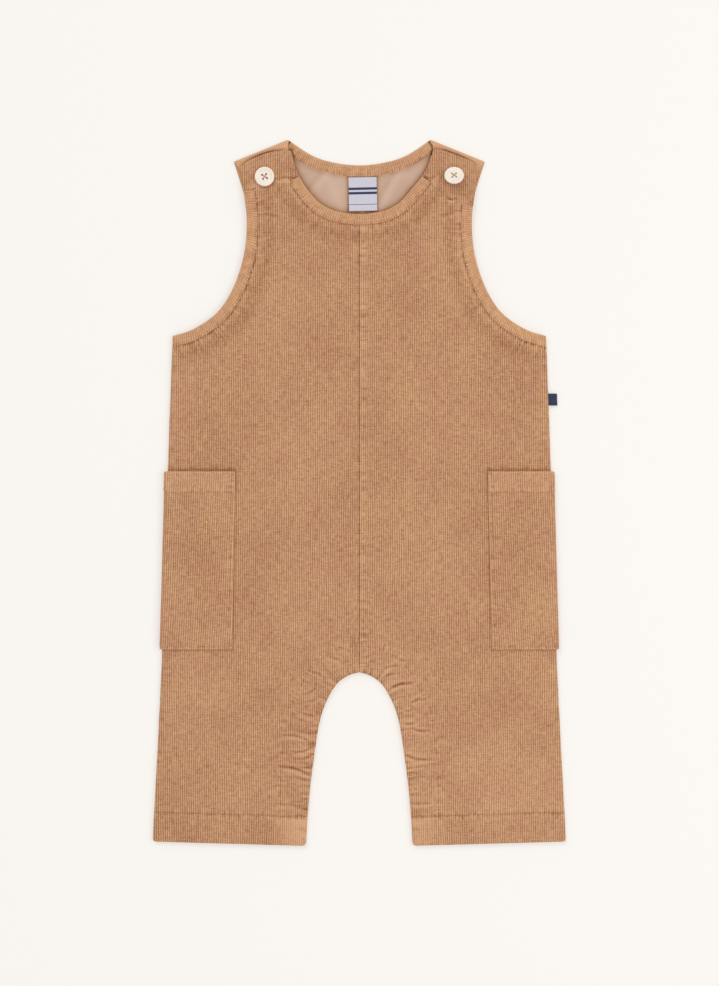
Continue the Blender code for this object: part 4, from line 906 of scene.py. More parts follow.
def fold_points(line):
    """A line of the unfolded back, where it lies once the strap is turned."""
    dense = at(line, np.linspace(0.0, distances(line)[-1], 60))
    x, y, _ = fold_over(dense[:, 0], dense[:, 1], np.zeros(len(dense)))
    return np.stack([x, y], axis=1)


# ================ bands ================
def cut_square(seam, tip, run):
    """The stretch of a seam line up to the square cut at a band's end."""
    ahead = (seam - tip) @ (run / np.linalg.norm(run))
    last = int(np.argmax(ahead > 0.0)) if ahead.max() > 0.0 else len(seam) - 1
    share = -ahead[last - 1] / (ahead[last] - ahead[last - 1])
    return np.vstack([seam[:last], seam[last - 1] + share * (seam[last] - seam[last - 1])])


def band_lines(edge, end, width, start_on_side=False):
    """A band's free edge and its seam, from the start of its edge line to its end on the strap."""
    seam = beside(edge, -width if start_on_side else width)
    if start_on_side:
        side = side_seam()
        run = seam[0] - seam[1]
        while seam[0][0] < np.interp(seam[0][1], side[:, 1], side[:, 0]):
            seam[0] = seam[0] + 0.02 * run
    else:
        seam[0][0] = 0.0
    tip = at(edge, end)
    return stretch(edge, 0.0, end), cut_square(seam, tip, tip - at(edge, end - 0.5))


def front_neck_lines(side, short=0.0):
    edge = front_neck_edge(side)
    return band_lines(edge, reach(edge, FRONT_NECK_BAND_TOP) - short, BAND_WIDTH)


def front_arm_lines(side, short=0.0):
    edge = armhole_edge(ARMHOLE_FRONT_TOP)
    return band_lines(edge, reach(edge, FRONT_ARM_BAND_TOP[side]) - short, BAND_WIDTH, True)


def back_neck_lines(side, short=BACK_BANDS_STOP):
    """The back neck's edge and seam, which are the same on both sides."""
    edge = back_neck_edge()
    return band_lines(edge, distances(edge)[-1] - short, BACK_NECK_BAND_WIDTH)


def back_arm_lines():
    edge = armhole_edge(ARMHOLE_BACK_TOP)
    return band_lines(edge, distances(edge)[-1] - BACK_BANDS_STOP, BAND_WIDTH, True)


def mirror_line(line):
    return line[::-1] * (-1.0, 1.0)


def front_band_level(x, y):
    """A front band lies over the panel's edge, a little proud of its face."""
    low = FRONT_UNDER + FRONT_LIFT * over_tab(np.abs(x), y)
    return low, low + BAND_THICKNESS


def back_neck_level(x, y):
    return np.zeros(np.shape(x)), 2.9 - 1.5 * ramp(np.abs(x), 36.0, 43.0)


def back_arm_level(x, y):
    return np.zeros(np.shape(x)), np.full(np.shape(x), 1.6)


def off_front_neck(x, y):
    """How far a point lies from the fronts' neck edges."""
    return np.where(x < 0.0, near_line(front_neck_edge("left"), -x, y)[0],
                    near_line(front_neck_edge("right"), x, y)[0])


def build_band(name, lines, level, held, material, seed, facing=1.0, strap_shade=0.0):
    """A folded band between its free edge and its seam, its wales across it, and its length."""
    wale = held["wale"]
    lengths = [distances(line)[-1] for line in lines]
    length = sum(lengths) / 2.0
    count = math.ceil(length / wale * COLUMNS_PER_WALE)
    mesh, column, row = flat_grid(count, len(BAND_SECTION))
    share = column / count
    along = share * length
    edge_at, seam_at = (at(line, share * whole) for line, whole in zip(lines, lengths))
    across, rise = np.array(BAND_SECTION + BAND_SECTION[:1])[row].T
    x, y = (edge_at + (seam_at - edge_at) * across[:, None]).T
    y = y + 0.35 * uneven_wave(along, 9.0, seed) * across
    drawn = held["pucker"] * (1.5 * uneven_wave(along, 4.2, seed) * ramp(across, 0.4, 0.85)
                              + 0.7 * uneven_wave(along, 6.1, seed + 1.0) * ramp(across, 0.4, 0.0)
                              + 0.7 * uneven_wave(along + 6.0 * across, 13.0, seed + 2.0))
    skew = along + 0.5 * wale * uneven_wave(along, 17.0, seed + 3.0) * across
    pile = held["pile"] * 0.6 * (wale_relief(skew, wale) - 1.0)
    face = ramp(rise, 0.2, 0.6)
    low, high = level(x, y)
    thick = (high - low) * rise + face * (drawn + pile)
    z = low + thick if facing > 0.0 else high - thick
    off_side = near_line(side_seam(), np.abs(x), y)[0]
    seam_z = seam_height(np.abs(x), y)
    z = np.where(np.abs(x) > 80.0, seam_z + (z - seam_z) * roll(off_side, SEAM_ROLL), z)
    # Painted highlight and shade from the band's puckers, ridge and stitch groove, and a painted shadow
    # of the front straps on the back neck band.
    wear_and_painted_shade = face * (drawn * 2.0 + marks(across, BAND_LIGHT) - marks(across, BAND_SHADE))
    wear_and_painted_shade = np.clip(wear_and_painted_shade, -1.6, 1.0) - strap_shade * hump(off_front_neck(x, y), 0.0, 1.9)
    settle(mesh, x, y, z, skew, across * BAND_WIDTH, wear_and_painted_shade)
    bm = bmesh.new()
    bm.from_mesh(mesh)
    bpy.data.meshes.remove(mesh)
    bmesh.ops.remove_doubles(bm, verts=bm.verts, dist=MERGE)
    bmesh.ops.holes_fill(bm, edges=[edge for edge in bm.edges if edge.is_boundary])
    bmesh.ops.recalc_face_normals(bm, faces=bm.faces)
    return link_piece(name, mesh_of(bm, name), material), length


# ================ stitches ================
def add_stitches(bm, line, height, held):
    """A row of stitches along a line, each a short strand that dips into the cloth at its ends."""
    pitch = held["stitch"]
    half = STITCH_SHARE / 2.0 * pitch
    radius = held["thread"] / 2.0
    for centre in np.arange(half, distances(line)[-1] - half, pitch):
        ends = at(line, np.array([centre - half, centre + half]))
        z = height(ends[:, 0], ends[:, 1]) if callable(height) else (height, height)
        start, end = (Vector((*point, level)) for point, level in zip(ends, z))
        middle = (start + end) / 2.0 + Vector((0.0, -LENGTH / 2.0, 0.12 * radius))
        turn = (end - start).to_track_quat("X", "Z").to_matrix().to_4x4()
        scale = Matrix.Diagonal(((end - start).length / 2.0 * MM, radius * MM, radius * 0.9 * MM, 1.0))
        bmesh.ops.create_uvsphere(bm, u_segments=6, v_segments=5, radius=1.0,
                                  matrix=Matrix.Translation(middle * MM) @ turn @ scale
                                  @ Matrix.Rotation(math.pi / 2.0, 4, "Y"))


# ================ materials ================
BLOTCH_WIDTH = 23.81          # of the corduroy's cloudy tone, mm
POPLIN_THREADS = 0.5          # from one thread to the next
POPLIN_CLOUD = 11.11
TAPE_RIBS = 0.45
TAPE_HAZE = 2.0
BUTTON_FIGURE = 3.846
THREAD_TWIST = 0.3846


def linear(hex_colour):
    """An sRGB hex colour as linear RGBA."""
    parts = [int(hex_colour[i:i + 2], 16) / 255.0 for i in (1, 3, 5)]
    return (*[c / 12.92 if c <= 0.04045 else ((c + 0.055) / 1.055) ** 2.4 for c in parts], 1.0)


def add_node(material, kind, settings=None, links=None):
    """Add a node: settings by attribute or input, links by input, from outputs or whole nodes."""
    tree = material.node_tree
    node = tree.nodes.new("ShaderNode" + kind)
    for key, value in (settings or {}).items():
        if hasattr(node, str(key)):
            setattr(node, key, value)
        else:
            node.inputs[key].default_value = value
    for key, source in (links or {}).items():
        output = source.outputs[0] if isinstance(source, bpy.types.Node) else source
        tree.links.new(output, node.inputs[key])
    return node


def weave_place(material):
    """Where a point lies in the weave, whole and split: across, along, and the third part, which on the
    cloth holds wear and painted shade.
    """
    weave = add_node(material, "Attribute", {"attribute_name": "weave"}).outputs["Vector"]
    return weave, add_node(material, "SeparateXYZ", links={0: weave}).outputs


def new_material(name, **settings):
    material = bpy.data.materials.new(name)
    material.use_nodes = True
    shader = material.node_tree.nodes["Principled BSDF"]
    for key, value in settings.items():
        shader.inputs[key.replace("_", " ")].default_value = value
    return material


def finish_material(material, colour, shifts, relief, strength, distance):
    """Give the shader a colour, shifted by the nodes in shifts, and fine relief in millimetres."""
    shader = material.node_tree.nodes["Principled BSDF"]
    fixed = {"Color": colour} if isinstance(colour, tuple) else {}
    linked = shifts if fixed else {"Color": colour, **shifts}
    tone = add_node(material, "HueSaturation", fixed, linked)
    bump = add_node(material, "Bump", {"Strength": strength, "Distance": distance * MM},
                    {"Height": relief})
    material.node_tree.links.new(tone.outputs[0], shader.inputs["Base Color"])
    material.node_tree.links.new(bump.outputs[0], shader.inputs["Normal"])
    return material


def corduroy(name, kind="pile"):
    """Woven cotton with cut pile in ribs: light on the crowns; the dark ground is partly its own colour,
    partly painted shade.
    """
    colours = bpy.context.scene.jumpsuit_colours
    top, ground = (getattr(colours, kind + end) for end in ("_top", "_ground"))
    material = new_material(name, Roughness=0.92, IOR=1.45, Specular_IOR_Level=0.25, Sheen_Weight=0.2,
                            Sheen_Roughness=0.45, Sheen_Tint=linear("#F0CBA8"))
    weave, (across, _, wear_and_painted_shade) = weave_place(material)

    def grain(width, length, detail, roughness=0.6):
        """Noise whose grain is this wide across the wales and this long along them, in mm."""
        scaled = add_node(material, "Mapping", {"Scale": (1.0 / width, 1.0 / length, 0.0)},
                          {"Vector": weave})
        return add_node(material, "TexNoise", {"noise_dimensions": "2D", "Scale": 1.0, "Detail": detail,
                                               "Roughness": roughness}, {"Vector": scaled})

    turns = add_node(material, "Math", {"operation": "MULTIPLY", 1: math.pi / sizes()["wale"]},
                     {0: across})
    wave = add_node(material, "Math", {"operation": "SINE"}, {0: turns})
    rib = add_node(material, "Math", {"operation": "ABSOLUTE"}, {0: wave})
    nap = grain(0.55, 1.2, 3.0, 0.65)
    streak = grain(6.0, 0.9, 3.0)
    tuft = grain(1.6, 4.5, 2.0)
    contrast = add_node(material, "Math", {"operation": "MULTIPLY_ADD", 1: 1.1, 2: 0.18}, {0: tuft})
    light = add_node(material, "Math", {"operation": "MULTIPLY"}, {0: rib, 1: contrast})
    # The third part of the weave adds painted highlight and shade to the pile's lightness.
    for source, gain in ((nap, 0.30), (streak, 0.85), (wear_and_painted_shade, 0.32)):
        light = add_node(material, "Math", {"operation": "MULTIPLY_ADD", 1: gain},
                         {0: source, 2: light})
    level = add_node(material, "Math", {"operation": "SUBTRACT", 1: 0.45, "use_clamp": True},
                     {0: light})
    cloth = add_node(material, "Mix", {"data_type": "RGBA", 6: linear(ground), 7: linear(top)},
                     {0: level})
    place = add_node(material, "TexCoord").outputs["Object"]
    blotch = add_node(material, "TexNoise", {"Scale": 1.0 / (BLOTCH_WIDTH * MM), "Detail": 4.0,
                                             "Roughness": 0.65}, {"Vector": place})
    # Painted shade that darkens the cloth in its deepest crevices.
    painted_crevice_shade = add_node(material, "MapRange", {"From Min": -3.0, "From Max": -0.9, "To Min": 0.42,
                                              "To Max": 1.0}, {"Value": wear_and_painted_shade})
    value = add_node(material, "Math", {"operation": "MULTIPLY_ADD", 1: 0.22, 2: 0.89}, {0: blotch})
    shaded = add_node(material, "Math", {"operation": "MULTIPLY"}, {0: value, 1: painted_crevice_shade})
    hue = add_node(material, "Math", {"operation": "MULTIPLY_ADD", 1: 0.035, 2: 0.4825}, {0: blotch})
    relief = add_node(material, "Math", {"operation": "MULTIPLY_ADD", 1: 0.8}, {0: streak, 2: nap})
    return finish_material(material, cloth.outputs[2], {"Value": shaded, "Hue": hue}, relief, 0.6, 0.3)


def poplin(name, colour_hex):
    """Plain-woven cotton lining: smooth and matt, with a fine even grain of threads."""
    material = new_material(name, Roughness=0.8, IOR=1.45, Specular_IOR_Level=0.3, Sheen_Weight=0.12)
    weave, (across, along, wear_and_painted_shade) = weave_place(material)
    threads = {}
    for number, way in enumerate((across, along)):
        turns = add_node(material, "Math", {"operation": "MULTIPLY", 1: math.tau / POPLIN_THREADS},
                         {0: way})
        threads[number] = add_node(material, "Math", {"operation": "SINE"}, {0: turns})
    relief = add_node(material, "Math", {"operation": "MULTIPLY"}, threads)
    cloud = add_node(material, "TexNoise", {"noise_dimensions": "2D", "Scale": 1.0 / POPLIN_CLOUD,
                                            "Detail": 4.0}, {"Vector": weave})
    # Painted shade: the lining darkens, and grows more saturated, where the third part of its weave is
    # low.
    painted_shade_level = add_node(material, "Math", {"operation": "MULTIPLY_ADD", 1: 0.105, 2: 0.93}, {0: wear_and_painted_shade})
    value = add_node(material, "Math", {"operation": "MULTIPLY_ADD", 1: 0.14}, {0: cloud, 2: painted_shade_level})
    pale = add_node(material, "Math", {"operation": "MULTIPLY_ADD", 1: -0.12, 2: 1.0}, {0: wear_and_painted_shade})
    return finish_material(material, linear(colour_hex), {"Value": value, "Saturation": pale}, relief,
                           0.35, 0.06)


def woven_label(name, ground, stripe=None):
    """Satin-woven polyester tape: a soft gloss across fine ribs, and stripes woven in."""
    material = new_material(name, Roughness=0.5, IOR=1.5, Specular_IOR_Level=0.35)
    weave, (_, along, down) = weave_place(material)
    turns = add_node(material, "Math", {"operation": "MULTIPLY", 1: math.tau / TAPE_RIBS}, {0: along})
    ribs = add_node(material, "Math", {"operation": "SINE"}, {0: turns})
    haze = add_node(material, "TexNoise", {"noise_dimensions": "2D", "Scale": 1.0 / TAPE_HAZE,
                                           "Detail": 3.0}, {"Vector": weave})
    links = {}
    if stripe:
        bars = add_node(material, "ValToRGB", links={0: down})
        bars.color_ramp.interpolation = "CONSTANT"
        for number, cut in enumerate(LABEL_CUTS):
            stops = bars.color_ramp.elements
            stop = stops.new(cut) if number else stops[0]
            stop.color = (number % 2, number % 2, number % 2, 1.0)
        stops.remove(stops[-1])
        links = {0: bars}
    mix = add_node(material, "Mix", {"data_type": "RGBA", 0: 0.0, 6: linear(ground),
                                     7: linear(stripe or ground)}, links)
    value = add_node(material, "Math", {"operation": "MULTIPLY_ADD", 1: 0.12, 2: 0.94}, {0: haze})
    return finish_material(material, mix.outputs[2], {"Value": value}, ribs, 0.4, 0.06)


def pressed_button(name, colour_hex):
    """Pressed urea or corozo: ivory, smooth and faintly glossy, with slow cloudy figure."""
    material = new_material(name, Roughness=0.34, IOR=1.52, Subsurface_Weight=0.12,
                            Subsurface_Scale=1.2 * MM, Coat_Weight=0.25, Coat_Roughness=0.2)
    place = add_node(material, "TexCoord").outputs["Object"]
    cloud = add_node(material, "TexNoise", {"Scale": 1.0 / (BUTTON_FIGURE * MM), "Detail": 4.0},
                     {"Vector": place})
    value = add_node(material, "Math", {"operation": "MULTIPLY_ADD", 1: 0.10, 2: 0.95}, {0: cloud})
    return finish_material(material, linear(colour_hex), {"Value": value}, cloud, 0.1, 0.05)


def spun_thread(name, colour_hex):
    """Spun polyester sewing thread: matt, its twist drawn coarse enough to show."""
    material = new_material(name, Roughness=0.7, IOR=1.5)
    place = add_node(material, "TexCoord").outputs["Object"]
    twist = add_node(material, "TexNoise", {"Scale": 1.0 / (THREAD_TWIST * MM), "Detail": 2.0},
                     {"Vector": place})
    value = add_node(material, "Math", {"operation": "MULTIPLY_ADD", 1: 0.5, 2: 0.75}, {0: twist})
    return finish_material(material, linear(colour_hex), {"Value": value}, twist, 0.6, 0.1)


def opal_table(name, colour_hex, glow):
    """Opal acrylic of a lit table: matt, pale, and its own light keeps the shadows on it faint."""
    surface = linear(colour_hex)
    unlit = (*[part * (1.0 - glow) for part in surface[:3]], 1.0)
    return new_material(name, Roughness=0.95, Specular_IOR_Level=0.1, Base_Color=unlit,
                        Emission_Color=surface, Emission_Strength=glow)


# ================ pieces ================
class PanelsOperator(bpy.types.Operator):
    """Builds the two fronts and the two backs, with the straps turned over the shoulders"""
    bl_idname = "jumpsuit.panels"
    bl_label = "Panels"

    def execute(self, context):
        held = sizes()
        cloth = corduroy("cotton corduroy, cut pile")
        for side in SIDES:
            back = build_panel(side, False, cloth, held)
            declare(back, ["back_" + side])
            front = build_panel(side, True, cloth, held)
            declare(front, ["front_" + side])
        return {"FINISHED"}


class BandsOperator(bpy.types.Operator):
    """Builds the neck bands and the armhole bands"""
    bl_idname = "jumpsuit.bands"
    bl_label = "Bands"

    def execute(self, context):
        held = sizes()
        cloth = corduroy("cotton corduroy trim, cut pile", "trim")
        self.band("front_neck_band", self.across(front_neck_lines), front_band_level, held, cloth, 0.8)
        self.band("back_neck_band", self.across(back_neck_lines), back_neck_level, held, cloth, 2.2,
                  strap_shade=3.0)
        for side, turned, seed in (("left", mirror_line, 0.9), ("right", np.array, 0.0)):
            self.band("armhole_band_front_" + side, [turned(line) for line in front_arm_lines(side)],
                      front_band_level, held, cloth, 1.5 + seed)
            self.band("armhole_band_back_" + side, [turned(line) for line in back_arm_lines()],
                      back_arm_level, held, cloth, 2.7 + seed, facing=-1.0)
        return {"FINISHED"}

    def across(self, lines):
        """A neck band's edge and seam, from its left end to its right end."""
        return [np.vstack([mirror_line(left), right[1:]])
                for left, right in zip(lines("left"), lines("right"))]

    def band(self, node, lines, level, held, cloth, seed, **look):
        piece, length = build_band(node + "_cloth", lines, level, held, cloth, seed, **look)
        declare(piece, [node])


class PocketsOperator(bpy.types.Operator):
    """Builds the patch pockets, which wrap round the side seams"""
    bl_idname = "jumpsuit.pockets"
    bl_label = "Pockets"

    def execute(self, context):
        held = sizes()
        cloth = corduroy("cotton corduroy pocket, cut pile")
        for side in SIDES:
            pocket = self.pocket(side, cloth, held)
            declare(pocket, ["pocket_" + side])
        return {"FINISHED"}

    def pocket(self, side, cloth, held):
        seam = side_seam()
        rows = row_heights(POCKET_ROWS)
        outer = POCKET_FACE / 2.0
        bend = math.pi * outer
        columns = math.ceil((2.0 * 60.0 + bend) / held["wale"] * COLUMNS_PER_WALE)
        mesh, column, row = flat_grid(columns, len(rows) - 1)
        y = POCKET_LOW + rows[row]
        x_in = width_at(POCKET_INNER[side], y)
        turn_x = np.interp(y, seam[:, 1], seam[:, 0]) + width_at(POCKET_PROUD, y) - outer
        flat = turn_x - x_in
        total = 2.0 * flat + bend
        across = total * column / columns
        front = across > flat + bend
        back = across < flat
        off_inner = np.minimum(across, total - across)
        off_low = y - POCKET_LOW
        off_high = POCKET_HIGH - y
        edge_off = np.minimum(np.minimum(off_inner, off_low), off_high)
        hem = off_high - POCKET_HEM + 0.5 * uneven_wave(across, 23.0, 0.3)
        doubled = ease(hem, 3.4, 2.0)
        fine = 0.15 * slow_waves(across, y, 1.7) + DOUBLED * doubled + held["pucker"] * (
            puckers(np.abs(hem), across, POCKET_HEM_PUCKERS)
            + puckers(np.abs(off_inner - POCKET_SEWN), y, POCKET_SIDE_PUCKERS)
            + puckers(np.abs(off_low - POCKET_SEWN), across, POCKET_LOW_PUCKERS))
        fine += (marks(hem, POCKET_HEM_RELIEF) + marks(off_inner, POCKET_SIDE_RELIEF)
                 + marks(off_low, POCKET_LOW_RELIEF))
        pile = held["pile"] * (wale_relief(across, held["wale"]) - 1.0)
        out = np.where(back, 0.0, fine) + pile - POCKET_DROP * (1.0 - roll(edge_off, POCKET_ROLL))
        angle = np.clip((across - flat) / outer, 0.0, math.pi)
        x = np.where(front, x_in + total - across,
                     np.where(back, x_in + across, turn_x + (outer + out) * np.sin(angle)))
        z = np.where(front, POCKET_FACE + out,
                     np.where(back, -out, outer - (outer + out) * np.cos(angle)))
        # A lighter line on each rolled edge, partly worn pile and partly painted highlight, darker where
        # the hem is doubled, and painted highlight and shade from the relief.
        light = 0.9 * hump(edge_off, 0.0, POCKET_ROLL) - 0.35 * doubled
        settle(mesh, x, y, z, across, y, np.clip(fine * 2.0 + light, -1.5, 1.2))
        return finish_cloth("pocket_" + side + "_cloth", mesh, cloth, lambda edge: True, WALL - 0.3,
                            outer, side == "left")


class InsideOperator(bpy.types.Operator):
    """Builds the back lining and the two labels"""
    bl_idname = "jumpsuit.inside"
    bl_label = "Lining and labels"

    def execute(self, context):
        colours = context.scene.jumpsuit_colours
        lining = self.lining(poplin("cotton poplin, plain woven", colours.lining))
        declare(lining, ["back_lining"])
        label = self.neck_label(woven_label("satin-woven tape", colours.label, colours.stripe))
        declare(label, ["neck_label"])
        tag = self.side_label(woven_label("twill-woven tape", colours.side_label))
        declare(tag, ["side_label"])
        return {"FINISHED"}

    def lining(self, material):
        seam = beside(back_neck_edge(), BACK_NECK_BAND_WIDTH - 0.5)
        columns, rows = LINING_GRID
        mesh, column, row = flat_grid(columns, rows)
        share = 2.0 * column / columns - 1.0
        left, right = (np.array(LINING_SIDES[side]) for side in SIDES)
        x_top = share * np.where(share < 0.0, left[-1][0], right[-1][0])
        top = np.interp(np.abs(x_top), seam[:, 0], seam[:, 1])
        low = left[0][1] - 6.0
        y = low + (top - low) * row / rows
        x = share * np.where(share < 0.0, np.interp(y, left[:, 1], left[:, 0]),
                             np.interp(y, right[:, 1], right[:, 0]))
        beneath = ramp(y, 492.0, 486.0)
        folds = sum(fold.height * hump(x - fold.x - fold.lean * (y - fold.y), 0.0, fold.width)
                    * (beneath if fold.under_label else 1.0) for fold in LINING_FOLDS)
        relief = folds + 0.25 * slow_waves(3.0 * x, 2.0 * y, 0.9)
        z = LINING_HEIGHT + LINING_DEPTH * np.clip(relief, -1.0, 0.8)
        # Painted shade and highlight from the folds' relief, and painted shade where the lining lies
        # deep.
        settle(mesh, x, y, z, x, y, np.clip(1.3 * relief + self.lining_shade(x, y), -6.0, 1.0))
        return finish_cloth("back_lining_cloth", mesh, material)

    def lining_shade(self, x, y):
        """The lining lies deep: dark beside the neck's edges and round the label."""
        front = off_front_neck(x, y)
        back = near_line(beside(back_neck_edge(), BACK_NECK_BAND_WIDTH), np.abs(x), y)[0]
        aside = np.abs(x - NECK_LABEL["x"]) - NECK_LABEL["width"] / 2.0
        beneath = NECK_LABEL["top"] - NECK_LABEL["height"] - y
        label = np.hypot(np.maximum(aside, 0.0), np.maximum(beneath, 0.0))
        return (-3.8 * np.exp(-(front / 2.7) ** 1.3) - 1.6 * np.exp(-(back / 2.0) ** 1.5)
                - 3.2 * np.exp(-(label / 1.5) ** 1.5) - 0.3 * np.exp(-label / 4.0))

    def neck_label(self, material):
        columns, rows = NECK_LABEL_GRID
        mesh, column, row = flat_grid(columns, rows)
        turn = math.radians(NECK_LABEL["turn"])
        across = (column / columns - 0.5) * NECK_LABEL["width"]
        down = 1.0 - row / rows
        drop = -down * NECK_LABEL["height"]
        x = NECK_LABEL["x"] + across * math.cos(turn) - drop * math.sin(turn)
        y = NECK_LABEL["top"] + across * math.sin(turn) + drop * math.cos(turn)
        corner = (2.0 * np.abs(across) / NECK_LABEL["width"]) ** 2
        wave = NECK_LABEL["wave"] * np.sin(down * 5.0)
        z = NECK_LABEL["z"] + NECK_LABEL["curl"] * down ** 2 * corner + wave
        settle(mesh, x, y, z, across, drop, down)
        return finish_cloth("neck_label_tape", mesh, material, lambda edge: True, 0.32,
                            lip=lambda place, up: 0.8)

    def side_label(self, material):
        side = side_seam()
        columns, rows = SIDE_LABEL_GRID
        mesh, column, row = flat_grid(columns, rows)
        length = SIDE_LABEL["length"]
        fold = SIDE_LABEL["fold"]
        path = column / columns * (2.0 * length + math.pi * fold) - length
        y = SIDE_LABEL["y"] + (row / rows - 0.5) * SIDE_LABEL["width"]
        root = np.interp(y, side[:, 1], side[:, 0]) - 0.4
        angle = np.clip(path / fold, 0.0, math.pi)
        past_bend = np.maximum(path - math.pi * fold, 0.0)
        reach_out = length + np.minimum(path, 0.0) - past_bend + fold * np.sin(angle)
        droop = SIDE_LABEL["droop"] * np.clip(reach_out / length, 0.0, 1.2) ** 2
        z = SIDE_LABEL["height"] + 0.6 - droop + fold * np.cos(angle)
        settle(mesh, root + reach_out, y, z, path, y, np.zeros(len(y)))
        return finish_cloth("side_label_tape", mesh, material)


class ButtonsOperator(bpy.types.Operator):
    """Builds the buttons, with their four holes, cross stitch and shank"""
    bl_idname = "jumpsuit.buttons"
    bl_label = "Buttons"

    def execute(self, context):
        colours = context.scene.jumpsuit_colours
        ivory = pressed_button("pressed ivory button", colours.button)
        thread = spun_thread("spun button thread", colours.button_thread)
        for side, place in BUTTONS.items():
            tilt = math.radians(place.tilt)
            rest = front_level(np.array([abs(place.x)]), np.array([place.y]), side)[0] + 0.3
            lift = BUTTON_PROFILE[1].radius * BUTTON_DIAMETER / 2.0 * math.sin(tilt)
            foot_y = place.y - BUTTON_HEIGHT * math.sin(tilt) - LENGTH / 2.0
            pose = (Matrix.Translation(Vector((place.x, foot_y, rest + lift)) * MM)
                    @ Matrix.Rotation(math.radians(place.turn), 4, "Z")
                    @ Matrix.Rotation(-tilt, 4, "X"))
            button = self.button("button_" + side + "_turned", pose, ivory)
            declare(button, ["button_" + side])
            strands = self.strands("button_" + side + "_thread", pose, thread, lift)
            declare(strands, ())
        return {"FINISHED"}

    def button(self, name, pose, material):
        radius = BUTTON_DIAMETER / 2.0 * MM
        bm = bmesh.new()
        profile = [bm.verts.new((ring.radius * radius, 0.0, ring.height * BUTTON_HEIGHT * MM))
                   for ring in BUTTON_PROFILE]
        edges = [bm.edges.new(pair) for pair in zip(profile, profile[1:])]
        bmesh.ops.spin(bm, geom=profile + edges, cent=(0, 0, 0), axis=(0, 0, 1), dvec=(0, 0, 0),
                       angle=math.tau, steps=72, use_merge=True)
        bmesh.ops.remove_doubles(bm, verts=bm.verts, dist=1e-6)
        bmesh.ops.recalc_face_normals(bm, faces=bm.faces)
        blank = link_piece(name, mesh_of(bm, name), material)
        cutter = link("drill", mesh_of(self.drill(), "drill"))
        cut = blank.modifiers.new("thread holes", "BOOLEAN")
        cut.operation = "DIFFERENCE"
        cut.solver = "EXACT"
        cut.object = cutter
        bpy.context.view_layer.update()
        shaped = bpy.data.meshes.new_from_object(
            blank.evaluated_get(bpy.context.evaluated_depsgraph_get()))
        blank.modifiers.clear()
        blank.data = shaped
        shaped.name = name
        bpy.data.objects.remove(cutter)
        shaped.transform(pose)
        shaped.set_sharp_from_angle(angle=math.radians(40.0))
        return blank

    def drill(self):
        """Four rods where the holes are."""
        bm = bmesh.new()
        half = BUTTON_HOLE_SPACING / 2.0 * MM
        radius = BUTTON_HOLE / 2.0 * MM
        for x in (-half, half):
            for y in (-half, half):
                bmesh.ops.create_cone(bm, cap_ends=True, segments=24, radius1=radius, radius2=radius,
                                      depth=4.0 * BUTTON_HEIGHT * MM,
                                      matrix=Matrix.Translation((x, y, 0.0)))
        return bm

    def strands(self, name, pose, material, lift):
        """Two crossed bundles of thread over the face, and the shank beneath."""
        bm = bmesh.new()
        top = BUTTON_PROFILE[-1].height * BUTTON_HEIGHT
        half = BUTTON_HOLE_SPACING / 2.0
        for turn, level in ((math.pi / 4.0, 0.22), (-math.pi / 4.0, 0.46)):
            for side in (-0.24, 0.24):
                made = bmesh.ops.create_uvsphere(bm, u_segments=8, v_segments=9, radius=1.0)["verts"]
                bmesh.ops.rotate(bm, verts=made, matrix=Matrix.Rotation(math.pi / 2.0, 3, "Y"))
                bmesh.ops.scale(bm, verts=made, vec=((half * 1.414 - 0.3) * MM, 0.27 * MM, 0.24 * MM))
                for vert in made:
                    vert.co.z += (level - 1.1 * (vert.co.x / (half * 1.9 * MM)) ** 2) * MM
                bmesh.ops.translate(bm, verts=made, vec=(0.0, side * MM, top * MM))
                bmesh.ops.rotate(bm, verts=made, matrix=Matrix.Rotation(turn, 3, "Z"))
        shank = lift + 0.9
        bmesh.ops.create_cone(bm, cap_ends=True, segments=12, radius1=1.3 * MM, radius2=1.0 * MM,
                              depth=shank * MM, matrix=Matrix.Translation((0, 0, -shank / 2.0 * MM)))
        bmesh.ops.transform(bm, verts=bm.verts, matrix=pose)
        return link_piece(name, mesh_of(bm, name), material)


